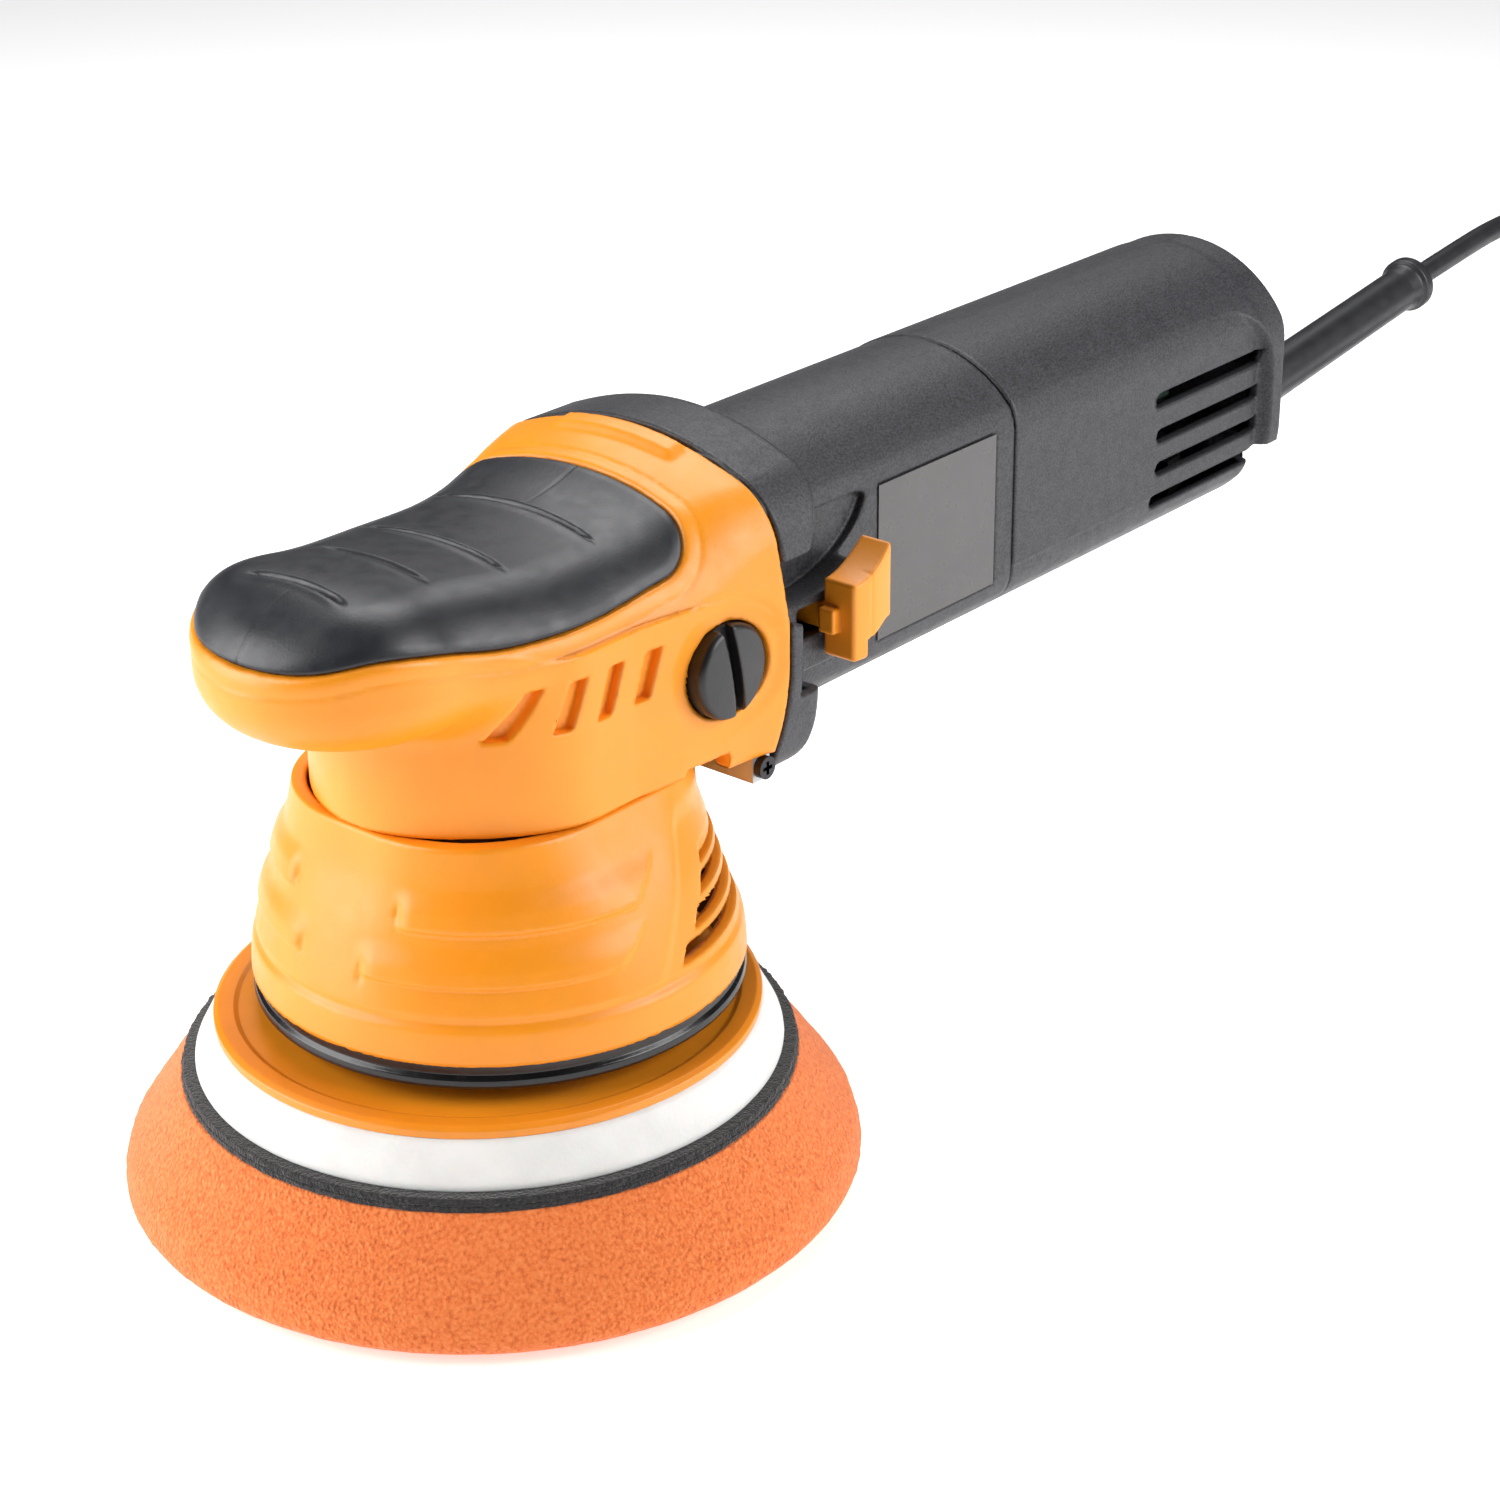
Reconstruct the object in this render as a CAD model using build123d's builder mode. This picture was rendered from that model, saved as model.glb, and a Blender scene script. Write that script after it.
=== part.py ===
from build123d import *
import math
import os

# Random-orbital car polisher with a bevel gear head, a straight motor body behind it, a
# 125 mm backing plate and a flared foam pad.  Millimetres, +Z up.  The origin is on the
# floor under the spindle, +X runs along the motor towards the cord, and the sliding
# switch is on the -Y side.  The tool stands on its pad.

os.makedirs("parts", exist_ok=True)

# ---------------------------------------------------------------- driving dimensions
MOTOR_Z = 113.2           # height of the motor axis
ORBIT = 4.0               # eccentric throw: an 8 mm orbit
WALL = 3.2                # moulded covers
SHELL = 2.6               # motor and rear housing walls
RUN_FIT = 0.03            # radial clearance of a shaft in its bearing

# foam pad and backing pad, heights from the floor
PAD_R, PAD_R_Z = 79.0, 7.5
PAD_BASE_R, PAD_TOP_R, PAD_TOP = 74.0, 65.3, 27.0
LOOP_TOP, HOOK_TOP, WHITE_TOP = 28.3, 29.7, 39.1
HOOK_R, WHITE_R_LOW, WHITE_R_HIGH = 65.0, 62.5, 57.8
PLATE_TOP = 41.5
HUB_R, HUB_TOP = 14.0, 49.5
STUD_R = 4.0              # M8 stud
PAD_SHAFT_R = 6.0

# shroud, skirt and neck
RING_BOTTOM, SKIRT_BOTTOM, NECK_Z = 44.4, 50.0, 92.8
NECK_FRONT, NECK_HALF, NECK_CORNER = 39.6, 36.0, 30.0

# head and flange
HEAD_REAR = 44.0          # joint plane between the head and the motor housing
HEAD_HALF, HEAD_TOP = 43.3, 153.7
TAB_BOTTOM = 90.0
GASKET = 1.0
PORT = (28.1, 113.5)      # side handle port, x and z
PORT_R = 10.4

# motor body
BARREL_R, FLAT = 33.5, 26.5
SEAM_X, REAR_X = 145.5, 259.0
FLANGE_X, BLEND_X = 55.0, 68.0
SHAFT_R = 4.0
CORE_X, CORE_LENGTH, CORE_R = 72.0, 45.0, 16.6
FAN_X, FAN_R = 50.5, 27.0
COMMUTATOR_X, COMMUTATOR_R = 124.5, 11.0

# bevel pair: the pitch cones meet where the two axes cross
PINION_TEETH, GEAR_TEETH = 11, 36
GEAR_R, GEAR_BORE_R = 24.0, 15.5
CONE = PINION_TEETH / GEAR_TEETH

# mains lead
CORD_R = 3.1
BOOT_START, BOOT_TIP = (259.0, 0, 91.8), (377.0, 0, 106.8)
COIL_CENTRE = (502.0, -62.0)
COIL_COLUMNS, COIL_ROWS, COIL_MID_R = 3, 4, 36.0
COIL_TURNS = 11.2         # the steps from turn to turn take up the rest of the twelve
CORD_ROUTE = [
    BOOT_TIP, (402, 0, 109.6), (428, 0, 111.9), (453, -1, 111), (477, -4, 103),
    (497, -9, 88), (513, -16, 68), (525, -24, 46), (535, -35, 25), (542, -50, 9.5),
    (544, -68, CORD_R),
]
PLUG_X, PLUG_Y, PLUG_Z = 431.0, -106.0, 9.5
TAIL_ROUTE = [
    (500, -104.2, 21.7), (481, -104.8, 21), (464, -105.5, 17), (447, -106.2, 11.5),
    (PLUG_X, PLUG_Y, PLUG_Z),
]


# ---------------------------------------------------------------- helpers
def across(x):
    """A plane square to the motor axis: its x is +Y and its y is +Z."""
    return Plane(origin=(x, 0, MOTOR_Z), x_dir=(0, 1, 0), z_dir=(1, 0, 0))


def upright(x, z=0.0):
    """A vertical plane through (x, 0, z) for profiles turned about Z."""
    return Plane(origin=(x, 0, z), x_dir=(1, 0, 0), z_dir=(0, -1, 0))


def turned(profile, x=0.0):
    """Turn a closed profile of (radius, height) points about the upright axis at x."""
    with BuildPart() as part:
        with BuildSketch(upright(x)):
            with BuildLine():
                Polyline(*profile, close=True)
            make_face()
        revolve(axis=Axis((x, 0, 0), (0, 0, 1)))
    return part.part


def ring(bottom, top, outer, inner, x=0.0):
    """An upright ring."""
    return turned([(inner, bottom), (outer, bottom), (outer, top), (inner, top)], x)


def bearing(width, outer, inner, plane):
    """A shielded ball bearing as one ring with a shallow groove in each face."""
    middle = (outer + inner) / 2
    with BuildPart() as part:
        with BuildSketch(plane):
            Circle(outer)
            Circle(inner, mode=Mode.SUBTRACT)
        extrude(amount=width)
        for face_at in (0, width - 0.6):
            with BuildSketch(plane.offset(face_at)):
                Circle(middle + 0.5)
                Circle(middle - 0.5, mode=Mode.SUBTRACT)
            extrude(amount=0.6, mode=Mode.SUBTRACT)
    return part.part


def barrel(x, length, radius, flat):
    """A round bar along the motor axis with two flat sides."""
    with BuildPart() as part:
        with BuildSketch(across(x)):
            Circle(radius)
            Rectangle(2 * flat, 2 * radius, mode=Mode.INTERSECT)
        extrude(amount=length)
    return part.part


def on_circle(radius, degrees, z):
    """A point on an upright circle about the origin."""
    turn = math.radians(degrees)
    return (radius * math.cos(turn), radius * math.sin(turn), z)


def cap_screw(plane, length, radius=2.0, head_r=3.5, head=2.6):
    """A pan head screw: its head stands on the plane and its shank goes the other way."""
    with BuildPart() as part:
        with BuildSketch(plane):
            Circle(radius)
        extrude(amount=-length)
        with BuildSketch(plane):
            Circle(head_r)
        extrude(amount=head)
        with BuildSketch(plane.offset(head)):
            Rectangle(head_r * 1.2, 0.9)
            Rectangle(0.9, head_r * 1.2)
        extrude(amount=-1.1, mode=Mode.SUBTRACT)
    return part.part


def head_solid(inset):
    """The head's outer form, drawn in from its surface by an inset."""
    stations = [
        (-67.0, 6.0, 124.0, 134.6, 4.5), (-63.5, 14.2, 120.6, 139.4, 7.5),
        (-56.5, 22.0, 118.0, 143.2, 10.0), (-47.0, 27.6, 117.0, 145.9, 12.0),
        (-36.0, 29.9, 117.0, 145.8, 12.5), (-22.0, 32.6, 116.0, 144.6, 13.0),
        (-8.0, 35.6, 115.0, 144.1, 13.0), (8.0, 36.5, 112.0, 144.2, 13.0),
        (20.0, 38.4, 112.0, 146.4, 14.0),
        (29.0, 40.4, 112.0, 149.2, 14.5), (37.0, 42.2, 112.0, 152.0, 15.0),
        (HEAD_REAR, HEAD_HALF, 112.0, HEAD_TOP, 15.0),
    ]
    with BuildPart() as part:
        for x, half, low, high, corner in stations:
            middle, size = (low + high) / 2 - MOTOR_Z, high - low
            place = min(x + inset, HEAD_REAR)
            drawn_in = min(inset, 0.45 * corner)
            with BuildSketch(across(place)):
                with Locations((0, middle)):
                    RectangleRounded(2 * (half - drawn_in), size - 2 * drawn_in, corner - drawn_in)
        loft()
        with BuildSketch(Plane.XY.offset(NECK_Z)):
            add(neck_face(inset))
        extrude(amount=122.0 - NECK_Z)
    return part.part


def neck_face(inset=0.0):
    """The neck's D-shaped plan, widening towards the motor, as a flat face."""
    half = HEAD_HALF - 0.6 - inset
    with BuildSketch() as face:
        with BuildLine():
            outline = FilletPolyline(
                (HEAD_REAR, -half), (14, -NECK_HALF + inset),
                (-NECK_FRONT + inset, -NECK_HALF + inset), (-NECK_FRONT + inset, NECK_HALF - inset),
                (14, NECK_HALF - inset), (HEAD_REAR, half), radius=NECK_CORNER - inset - 2,
            )
            Line(outline @ 1, outline @ 0)
        make_face()
    return face.sketch


# ================================================================ pad assembly
with BuildPart() as foam_pad:
    with BuildSketch(upright(-ORBIT)):
        with BuildLine():
            Polyline((PAD_R, PAD_R_Z), (PAD_TOP_R, PAD_TOP), (0, PAD_TOP), (0, 0), (PAD_BASE_R, 0))
            ThreePointArc((PAD_BASE_R, 0), (PAD_R - 1.3, 2.9), (PAD_R, PAD_R_Z))
        make_face()
    revolve(axis=Axis((-ORBIT, 0, 0), (0, 0, 1)))
foam_pad.part.label = "foam_pad"
export_step(foam_pad.part, "parts/foam_pad.step")

with BuildPart() as loop_disc:
    add(turned([(0, PAD_TOP), (PAD_TOP_R, PAD_TOP), (PAD_TOP_R, LOOP_TOP), (0, LOOP_TOP)], -ORBIT))
loop_disc.part.label = "loop_disc"
export_step(loop_disc.part, "parts/loop_disc.step")

with BuildPart() as hook_disc:
    add(turned([(0, LOOP_TOP), (HOOK_R, LOOP_TOP), (HOOK_R, HOOK_TOP), (0, HOOK_TOP)], -ORBIT))
hook_disc.part.label = "hook_disc"
export_step(hook_disc.part, "parts/hook_disc.step")

with BuildPart() as backing_foam:
    add(turned([(0, HOOK_TOP), (WHITE_R_LOW, HOOK_TOP), (WHITE_R_HIGH, WHITE_TOP), (0, WHITE_TOP)], -ORBIT))
backing_foam.part.label = "backing_foam"
export_step(backing_foam.part, "parts/backing_foam.step")

with BuildPart() as backing_plate:
    add(turned([
        (0, WHITE_TOP), (WHITE_R_HIGH, WHITE_TOP), (WHITE_R_HIGH, PLATE_TOP - 0.5),
        (WHITE_R_HIGH - 0.8, PLATE_TOP), (50, PLATE_TOP - 0.5), (22, PLATE_TOP + 0.2),
        (HUB_R, PLATE_TOP + 3), (HUB_R, HUB_TOP), (STUD_R, HUB_TOP), (STUD_R, WHITE_TOP + 1),
        (0, WHITE_TOP + 1),
    ], -ORBIT))
backing_plate.part.label = "backing_plate"
export_step(backing_plate.part, "parts/backing_plate.step")

SHAFT_BOTTOM, SHAFT_TOP = HUB_TOP + 0.2, 74.6
STUD_TOP = 61.0
with BuildPart() as plate_stud:
    add(turned([(0, WHITE_TOP + 1), (STUD_R, WHITE_TOP + 1), (STUD_R, STUD_TOP), (0, STUD_TOP)], -ORBIT))
plate_stud.part.label = "plate_stud"
export_step(plate_stud.part, "parts/plate_stud.step")

with BuildPart() as plate_washer:
    add(ring(HUB_TOP, SHAFT_BOTTOM, 8.5, STUD_R, -ORBIT))
plate_washer.part.label = "plate_washer"
export_step(plate_washer.part, "parts/plate_washer.step")

with BuildPart() as pad_shaft:
    add(turned([
        (STUD_R, SHAFT_BOTTOM), (9, SHAFT_BOTTOM), (9, SHAFT_BOTTOM + 4), (PAD_SHAFT_R, SHAFT_BOTTOM + 4),
        (PAD_SHAFT_R, SHAFT_TOP), (0, SHAFT_TOP), (0, STUD_TOP), (STUD_R, STUD_TOP),
    ], -ORBIT))
pad_shaft.part.label = "pad_shaft"
export_step(pad_shaft.part, "parts/pad_shaft.step")

# ================================================================ spindle assembly
ECCENTRIC_R, ECCENTRIC_BOTTOM, ECCENTRIC_TOP = 22.0, 54.4, 76.0
PAD_BEARING_R, PAD_BEARING_W = 14.0, 8.0
SPINDLE_R, SPINDLE_TOP = 6.0, 125.0
GEAR_BOTTOM = 98.5

with BuildPart() as eccentric_spindle:
    add(ring(ECCENTRIC_BOTTOM, ECCENTRIC_TOP, ECCENTRIC_R, 0))
    with Locations((-ORBIT, 0, ECCENTRIC_BOTTOM)):
        Cylinder(PAD_BEARING_R, SHAFT_TOP + 0.6 - ECCENTRIC_BOTTOM, mode=Mode.SUBTRACT,
                 align=(Align.CENTER, Align.CENTER, Align.MIN))
    with Locations((0, 0, ECCENTRIC_TOP)):
        Cylinder(SPINDLE_R, SPINDLE_TOP - ECCENTRIC_TOP, align=(Align.CENTER, Align.CENTER, Align.MIN))
        Cylinder(8.5, 6.6, align=(Align.CENTER, Align.CENTER, Align.MIN))
eccentric_spindle.part.label = "eccentric_spindle"
export_step(eccentric_spindle.part, "parts/eccentric_spindle.step")

with BuildPart() as pad_bearings:
    for bottom in (ECCENTRIC_BOTTOM + 0.4, ECCENTRIC_BOTTOM + 11):
        seat = Plane(origin=(-ORBIT, 0, bottom))
        add(bearing(PAD_BEARING_W, PAD_BEARING_R, PAD_SHAFT_R + RUN_FIT, seat))
pad_bearings.part.label = "pad_bearings"
export_step(pad_bearings.part, "parts/pad_bearings.step")

COUNTER_R, COUNTER_Z, COUNTER_H = 40.0, 58.0, 9.0
with BuildPart() as counterweight:
    add(ring(COUNTER_Z, COUNTER_Z + COUNTER_H, COUNTER_R, ECCENTRIC_R))
    with Locations((-COUNTER_R + 8, 0, COUNTER_Z)):
        Box(2 * COUNTER_R, 2 * COUNTER_R, COUNTER_H, mode=Mode.SUBTRACT,
            align=(Align.CENTER, Align.CENTER, Align.MIN))
    with PolarLocations(31, 2, start_angle=-30, angular_range=60, endpoint=True):
        with Locations((0, 0, COUNTER_Z)):
            Cylinder(2.0, COUNTER_H, mode=Mode.SUBTRACT, align=(Align.CENTER, Align.CENTER, Align.MIN))
counterweight.part.label = "counterweight"
export_step(counterweight.part, "parts/counterweight.step")

with BuildPart() as counterweight_screws:
    for turn in (-30, 30):
        place = Plane(origin=on_circle(31, turn, COUNTER_Z), z_dir=(0, 0, -1))
        add(cap_screw(place, COUNTER_H, head_r=3.4, head=2.2))
counterweight_screws.part.label = "counterweight_screws"
export_step(counterweight_screws.part, "parts/counterweight_screws.step")


def cone_height(radius):
    """Top of the gear's teeth at a radius: just under the pinion's teeth."""
    return MOTOR_Z - CONE * radius - 0.2


with BuildPart() as bevel_gear:
    add(turned([
        (SPINDLE_R, GEAR_BOTTOM), (GEAR_R - 4, GEAR_BOTTOM), (GEAR_R, GEAR_BOTTOM + 2.5),
        (GEAR_R, cone_height(GEAR_R)), (GEAR_BORE_R, cone_height(GEAR_BORE_R)),
        (GEAR_BORE_R - 1.5, 105.5), (SPINDLE_R, 105.5),
    ]))
    with PolarLocations((GEAR_R + GEAR_BORE_R) / 2, GEAR_TEETH):
        with Locations(Location((0, 0, cone_height((GEAR_R + GEAR_BORE_R) / 2)),
                                (0, math.degrees(math.atan(CONE)), 0))):
            Box(12, 1.7, 3.0, mode=Mode.SUBTRACT)
bevel_gear.part.label = "bevel_gear"
export_step(bevel_gear.part, "parts/bevel_gear.step")

with BuildPart() as gear_nut:
    with BuildSketch(Plane.XY.offset(105.5)):
        RegularPolygon(9.0, 6)
        Circle(SPINDLE_R, mode=Mode.SUBTRACT)
    extrude(amount=4.0)
gear_nut.part.label = "gear_nut"
export_step(gear_nut.part, "parts/gear_nut.step")

# ================================================================ gear head
COVER_PLATE_R = 32.3
SPINDLE_BEARING_R, SPINDLE_BEARING_Z, SPINDLE_BEARING_W = 16.0, 83.0, 10.0
WEB_Z = 76.6              # the skirt's inner floor, clamped under the bearing cover
WEB_H = 2.4
CAVITY_R = 25.4
SCREW_CIRCLE = 29.0
HOUSING_BOTTOM = 84.0

with BuildPart() as bearing_cover:
    add(ring(WEB_Z + WEB_H, HOUSING_BOTTOM, COVER_PLATE_R, 9.2))
    with Locations((0, 0, HOUSING_BOTTOM)):
        Cylinder(CAVITY_R, 9.2, align=(Align.CENTER, Align.CENTER, Align.MIN))
    with Locations((0, 0, SPINDLE_BEARING_Z)):
        Cylinder(SPINDLE_BEARING_R, 11, mode=Mode.SUBTRACT, align=(Align.CENTER, Align.CENTER, Align.MIN))
    with Locations((0, 0, WEB_Z)):
        Cylinder(9.2, 8, mode=Mode.SUBTRACT, align=(Align.CENTER, Align.CENTER, Align.MIN))
    with PolarLocations(SCREW_CIRCLE, 4, start_angle=45):
        with Locations((0, 0, WEB_Z)):
            Cylinder(2.0, 10, mode=Mode.SUBTRACT, align=(Align.CENTER, Align.CENTER, Align.MIN))
bearing_cover.part.label = "bearing_cover"
export_step(bearing_cover.part, "parts/bearing_cover.step")

with BuildPart() as spindle_bearing:
    seat = Plane.XY.offset(SPINDLE_BEARING_Z)
    add(bearing(SPINDLE_BEARING_W, SPINDLE_BEARING_R, SPINDLE_R + RUN_FIT, seat))
spindle_bearing.part.label = "spindle_bearing"
export_step(spindle_bearing.part, "parts/spindle_bearing.step")

BUSH_R, BUSH_Z, BUSH_H = 9.0, 116.5, 8.0
FRONT_BEARING_X, FRONT_BEARING_R, FRONT_BEARING_W = 33.0, 11.0, 7.0
PLATE_X, PLATE_HALF = 38.6, 37.5     # the casting's rear flange plate
SIDE_SCREW_X, SIDE_SCREW_Z = 41.3, 87.2
with BuildPart() as gear_housing:
    add(ring(HOUSING_BOTTOM, 121, COVER_PLATE_R, 0))
    with Locations((0, 0, 121)):
        Cone(COVER_PLATE_R, 20, 7, align=(Align.CENTER, Align.CENTER, Align.MIN))
    with Locations((PLATE_X / 2, 0, MOTOR_Z - 2)):
        Box(PLATE_X, 54, 34)
    with BuildSketch(across(PLATE_X)):
        with Locations((0, (HOUSING_BOTTOM + 147) / 2 - MOTOR_Z)):
            RectangleRounded(2 * PLATE_HALF, 147 - HOUSING_BOTTOM, 14)
        with Locations((0, HOUSING_BOTTOM + 9 - MOTOR_Z)):
            Rectangle(2 * PLATE_HALF, 18)
        with Locations((20, 25), (-20, 25), (20, -17), (-20, -17)):
            Circle(5.0, mode=Mode.SUBTRACT)
    extrude(amount=HEAD_REAR - PLATE_X)
    with Locations((0, 0, HOUSING_BOTTOM)):
        Cylinder(CAVITY_R, 26, mode=Mode.SUBTRACT, align=(Align.CENTER, Align.CENTER, Align.MIN))
    with Locations((0, 0, 105)):
        Cylinder(SPINDLE_R + 0.8, 30, mode=Mode.SUBTRACT, align=(Align.CENTER, Align.CENTER, Align.MIN))
    with Locations((0, 0, BUSH_Z)):
        Cylinder(BUSH_R, BUSH_H + 10, mode=Mode.SUBTRACT, align=(Align.CENTER, Align.CENTER, Align.MIN))
    with BuildSketch(across(0)):
        Circle(9.0)
    extrude(amount=FRONT_BEARING_X, mode=Mode.SUBTRACT)
    with BuildSketch(across(FRONT_BEARING_X)):
        Circle(FRONT_BEARING_R)
    extrude(amount=20, mode=Mode.SUBTRACT)
    with PolarLocations(SCREW_CIRCLE, 4, start_angle=45):
        with Locations((0, 0, HOUSING_BOTTOM)):
            Cylinder(2.0, 12, mode=Mode.SUBTRACT, align=(Align.CENTER, Align.CENTER, Align.MIN))
    for side in (-1, 1):
        with Locations((SIDE_SCREW_X, side * (PLATE_HALF - 3), SIDE_SCREW_Z)):
            Cylinder(1.5, 6, rotation=(90, 0, 0), mode=Mode.SUBTRACT)
gear_housing.part.label = "gear_housing"
export_step(gear_housing.part, "parts/gear_housing.step")

with BuildPart() as spindle_bush:
    add(ring(BUSH_Z, BUSH_Z + BUSH_H, BUSH_R, SPINDLE_R + RUN_FIT))
spindle_bush.part.label = "spindle_bush"
export_step(spindle_bush.part, "parts/spindle_bush.step")

with BuildPart() as housing_screws:
    for turn in (45, 135, 225, 315):
        place = Plane(origin=on_circle(SCREW_CIRCLE, turn, WEB_Z), z_dir=(0, 0, -1))
        add(cap_screw(place, 18, head_r=3.3))
housing_screws.part.label = "housing_screws"
export_step(housing_screws.part, "parts/housing_screws.step")

# ================================================================ covers of the head
SKIRT_WALL = 2.5


def skirt_solid(inset):
    """The skirt's outer form: round at the rim, D-shaped at the neck, drawn in by an inset."""
    stations = [
        (SKIRT_BOTTOM, 52.0, 52.0, 51.4), (56.5, 51.3, 51.3, 50.6), (63, 49.4, 49.4, 48.4),
        (69, 47.3, 47.2, 46.0), (76, 44.6, 44.2, 41.5), (83, 41.8, 40.4, 36.0),
        (NECK_Z - 0.3, NECK_FRONT - 0.2, NECK_HALF - 0.2, NECK_CORNER),
    ]
    with BuildPart() as part:
        for z, half_x, half_y, corner in stations:
            with BuildSketch(Plane.XY.offset(z)):
                RectangleRounded(2 * (half_x - inset), 2 * (half_y - inset), corner - inset)
        loft()
    return part.part


with BuildPart() as lower_skirt:
    add(skirt_solid(0))
    add(skirt_solid(SKIRT_WALL), mode=Mode.SUBTRACT)
    with BuildSketch(Plane.XY.offset(WEB_Z)):
        Circle(41)
        Circle(24, mode=Mode.SUBTRACT)
    extrude(amount=WEB_H)
    with PolarLocations(SCREW_CIRCLE, 4, start_angle=45):
        with Locations((0, 0, WEB_Z)):
            Cylinder(2.0, WEB_H, mode=Mode.SUBTRACT, align=(Align.CENTER, Align.CENTER, Align.MIN))
    with Locations((PLATE_X - 0.3, 0, HOUSING_BOTTOM - 0.3)):
        Box(20, 100, 20, mode=Mode.SUBTRACT, align=(Align.MIN, Align.CENTER, Align.MIN))
    for level in range(4):
        for side in (-1, 1):
            slot = Plane(origin=(0, 0, 60.5 + 6.2 * level), x_dir=(math.cos(0.75), side * math.sin(0.75), 0),
                         z_dir=(0, 0, 1))
            with BuildSketch(slot):
                with Locations((47 - 2.0 * level, 0)):
                    Rectangle(16, 15 - 2.2 * level)
            extrude(amount=2.6, mode=Mode.SUBTRACT)
lower_skirt.part.label = "lower_skirt"
export_step(lower_skirt.part, "parts/lower_skirt.step")

with BuildPart() as shroud_ring:
    add(turned([
        (46.5, RING_BOTTOM + 0.8), (51.0, RING_BOTTOM), (51.8, RING_BOTTOM + 1.4), (51.2, RING_BOTTOM + 2.6),
        (51.7, SKIRT_BOTTOM), (49.3, SKIRT_BOTTOM), (48.6, 56), (46.5, 56),
    ]))
shroud_ring.part.label = "shroud_ring"
export_step(shroud_ring.part, "parts/shroud_ring.step")

# the grip pad's lower edge in side view, and the step it leaves in the cover
GRIP_EDGE = [
    (-80, 134.6), (-66, 135.2), (-60, 136.5), (-54, 137.8), (-48, 137.8), (-38, 136.0), (-26, 133.4),
    (-12, 132.6), (4, 132.9), (13, 134.4), (20.5, 137), (25, 140), (27.6, 144.5), (28.6, 165), (-80, 165),
]
GRIP_DEPTH = 1.6

HEAD_OUTER, HEAD_STEP, HEAD_INNER = head_solid(0), head_solid(GRIP_DEPTH), head_solid(WALL)

with BuildPart() as grip_region:
    with BuildSketch(Plane.XZ.offset(-60)):
        with BuildLine():
            Polyline(*GRIP_EDGE, close=True)
        make_face()
    extrude(amount=120)

with BuildPart() as grip_pad:
    add(HEAD_OUTER)
    add(HEAD_STEP, mode=Mode.SUBTRACT)
    add(grip_region.part, mode=Mode.INTERSECT)
grip_pad.part.label = "grip_pad"
export_step(grip_pad.part, "parts/grip_pad.step")

VENT_TOPS = (-21.5, -12.5, -2.2, 8.0)    # x of each side vent's top edge
with BuildPart() as head_cover:
    add(HEAD_OUTER)
    with BuildSketch(Plane.XY.offset(TAB_BOTTOM)):
        add(neck_face())
        with Locations((6, 0)):
            Rectangle(52, 120, mode=Mode.SUBTRACT)
        with Locations((-60, 0)):
            Rectangle(90, 120, mode=Mode.SUBTRACT)
    extrude(amount=NECK_Z - TAB_BOTTOM + 0.1)
    add(HEAD_INNER, mode=Mode.SUBTRACT)
    with BuildSketch(Plane.XY.offset(TAB_BOTTOM - 1)):
        add(neck_face(WALL))
    extrude(amount=8, mode=Mode.SUBTRACT)
    add(grip_pad.part, mode=Mode.SUBTRACT)
    with BuildSketch(Plane.XZ.offset(-60)):
        for index, top in enumerate(VENT_TOPS):
            lean = 4.6 - 0.3 * index
            with BuildLine():
                Polyline((top, 123.6), (top - lean, 113.4), (top - lean + 4.4, 113.4), (top + 4.4, 123.6),
                         close=True)
            make_face()
        with Locations(PORT):
            Circle(PORT_R)
    extrude(amount=120, mode=Mode.SUBTRACT)
head_cover.part.label = "head_cover"
export_step(head_cover.part, "parts/head_cover.step")

with BuildPart() as port_caps:
    for side in (-1, 1):
        outer = Plane(origin=(PORT[0], side * 34.0, PORT[1]), x_dir=(1, 0, 0), z_dir=(0, side, 0))
        with BuildSketch(outer):
            Circle(PORT_R)
        extrude(amount=9.4)
        with BuildSketch(outer):
            Circle(5.0)
        extrude(amount=-7.0)
        with BuildSketch(outer.offset(9.4)):
            Rectangle(2.4, 2 * PORT_R, rotation=-side * 10.5)
        extrude(amount=-2.4, mode=Mode.SUBTRACT)
port_caps.part.label = "port_caps"
export_step(port_caps.part, "parts/port_caps.step")

with BuildPart() as cover_screws:
    for side in (-1, 1):
        place = Plane(origin=(SIDE_SCREW_X, side * PLATE_HALF, SIDE_SCREW_Z), x_dir=(1, 0, 0),
                      z_dir=(0, side, 0))
        add(cap_screw(place, 6, radius=1.5, head_r=2.5, head=1.8))
cover_screws.part.label = "cover_screws"
export_step(cover_screws.part, "parts/cover_screws.step")


# ================================================================ motor housing
def flange_face(inset=0.0):
    """The joint between head and motor housing, seen along the motor axis, as a flat face."""
    points = [(0, 40.5), (24, 38.6), (37.2, 31.5), (43.3, 4), (41.0, -20), (34.6, -30), (0, -32.2)]
    with BuildSketch() as face:
        with BuildLine() as half:
            Polyline(*points)
            mirror(half.line, about=Plane.YZ)
        make_face()
        fillet([corner for corner in face.vertices() if abs(corner.X) > 1], radius=8)
        if inset:
            offset(amount=-inset, kind=Kind.INTERSECTION)
    return face.sketch


with BuildPart() as flange_gasket:
    with BuildSketch(across(HEAD_REAR)):
        add(flange_face(1.2))
        Circle(29, mode=Mode.SUBTRACT)
    extrude(amount=GASKET)
flange_gasket.part.label = "flange_gasket"
export_step(flange_gasket.part, "parts/flange_gasket.step")


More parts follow.
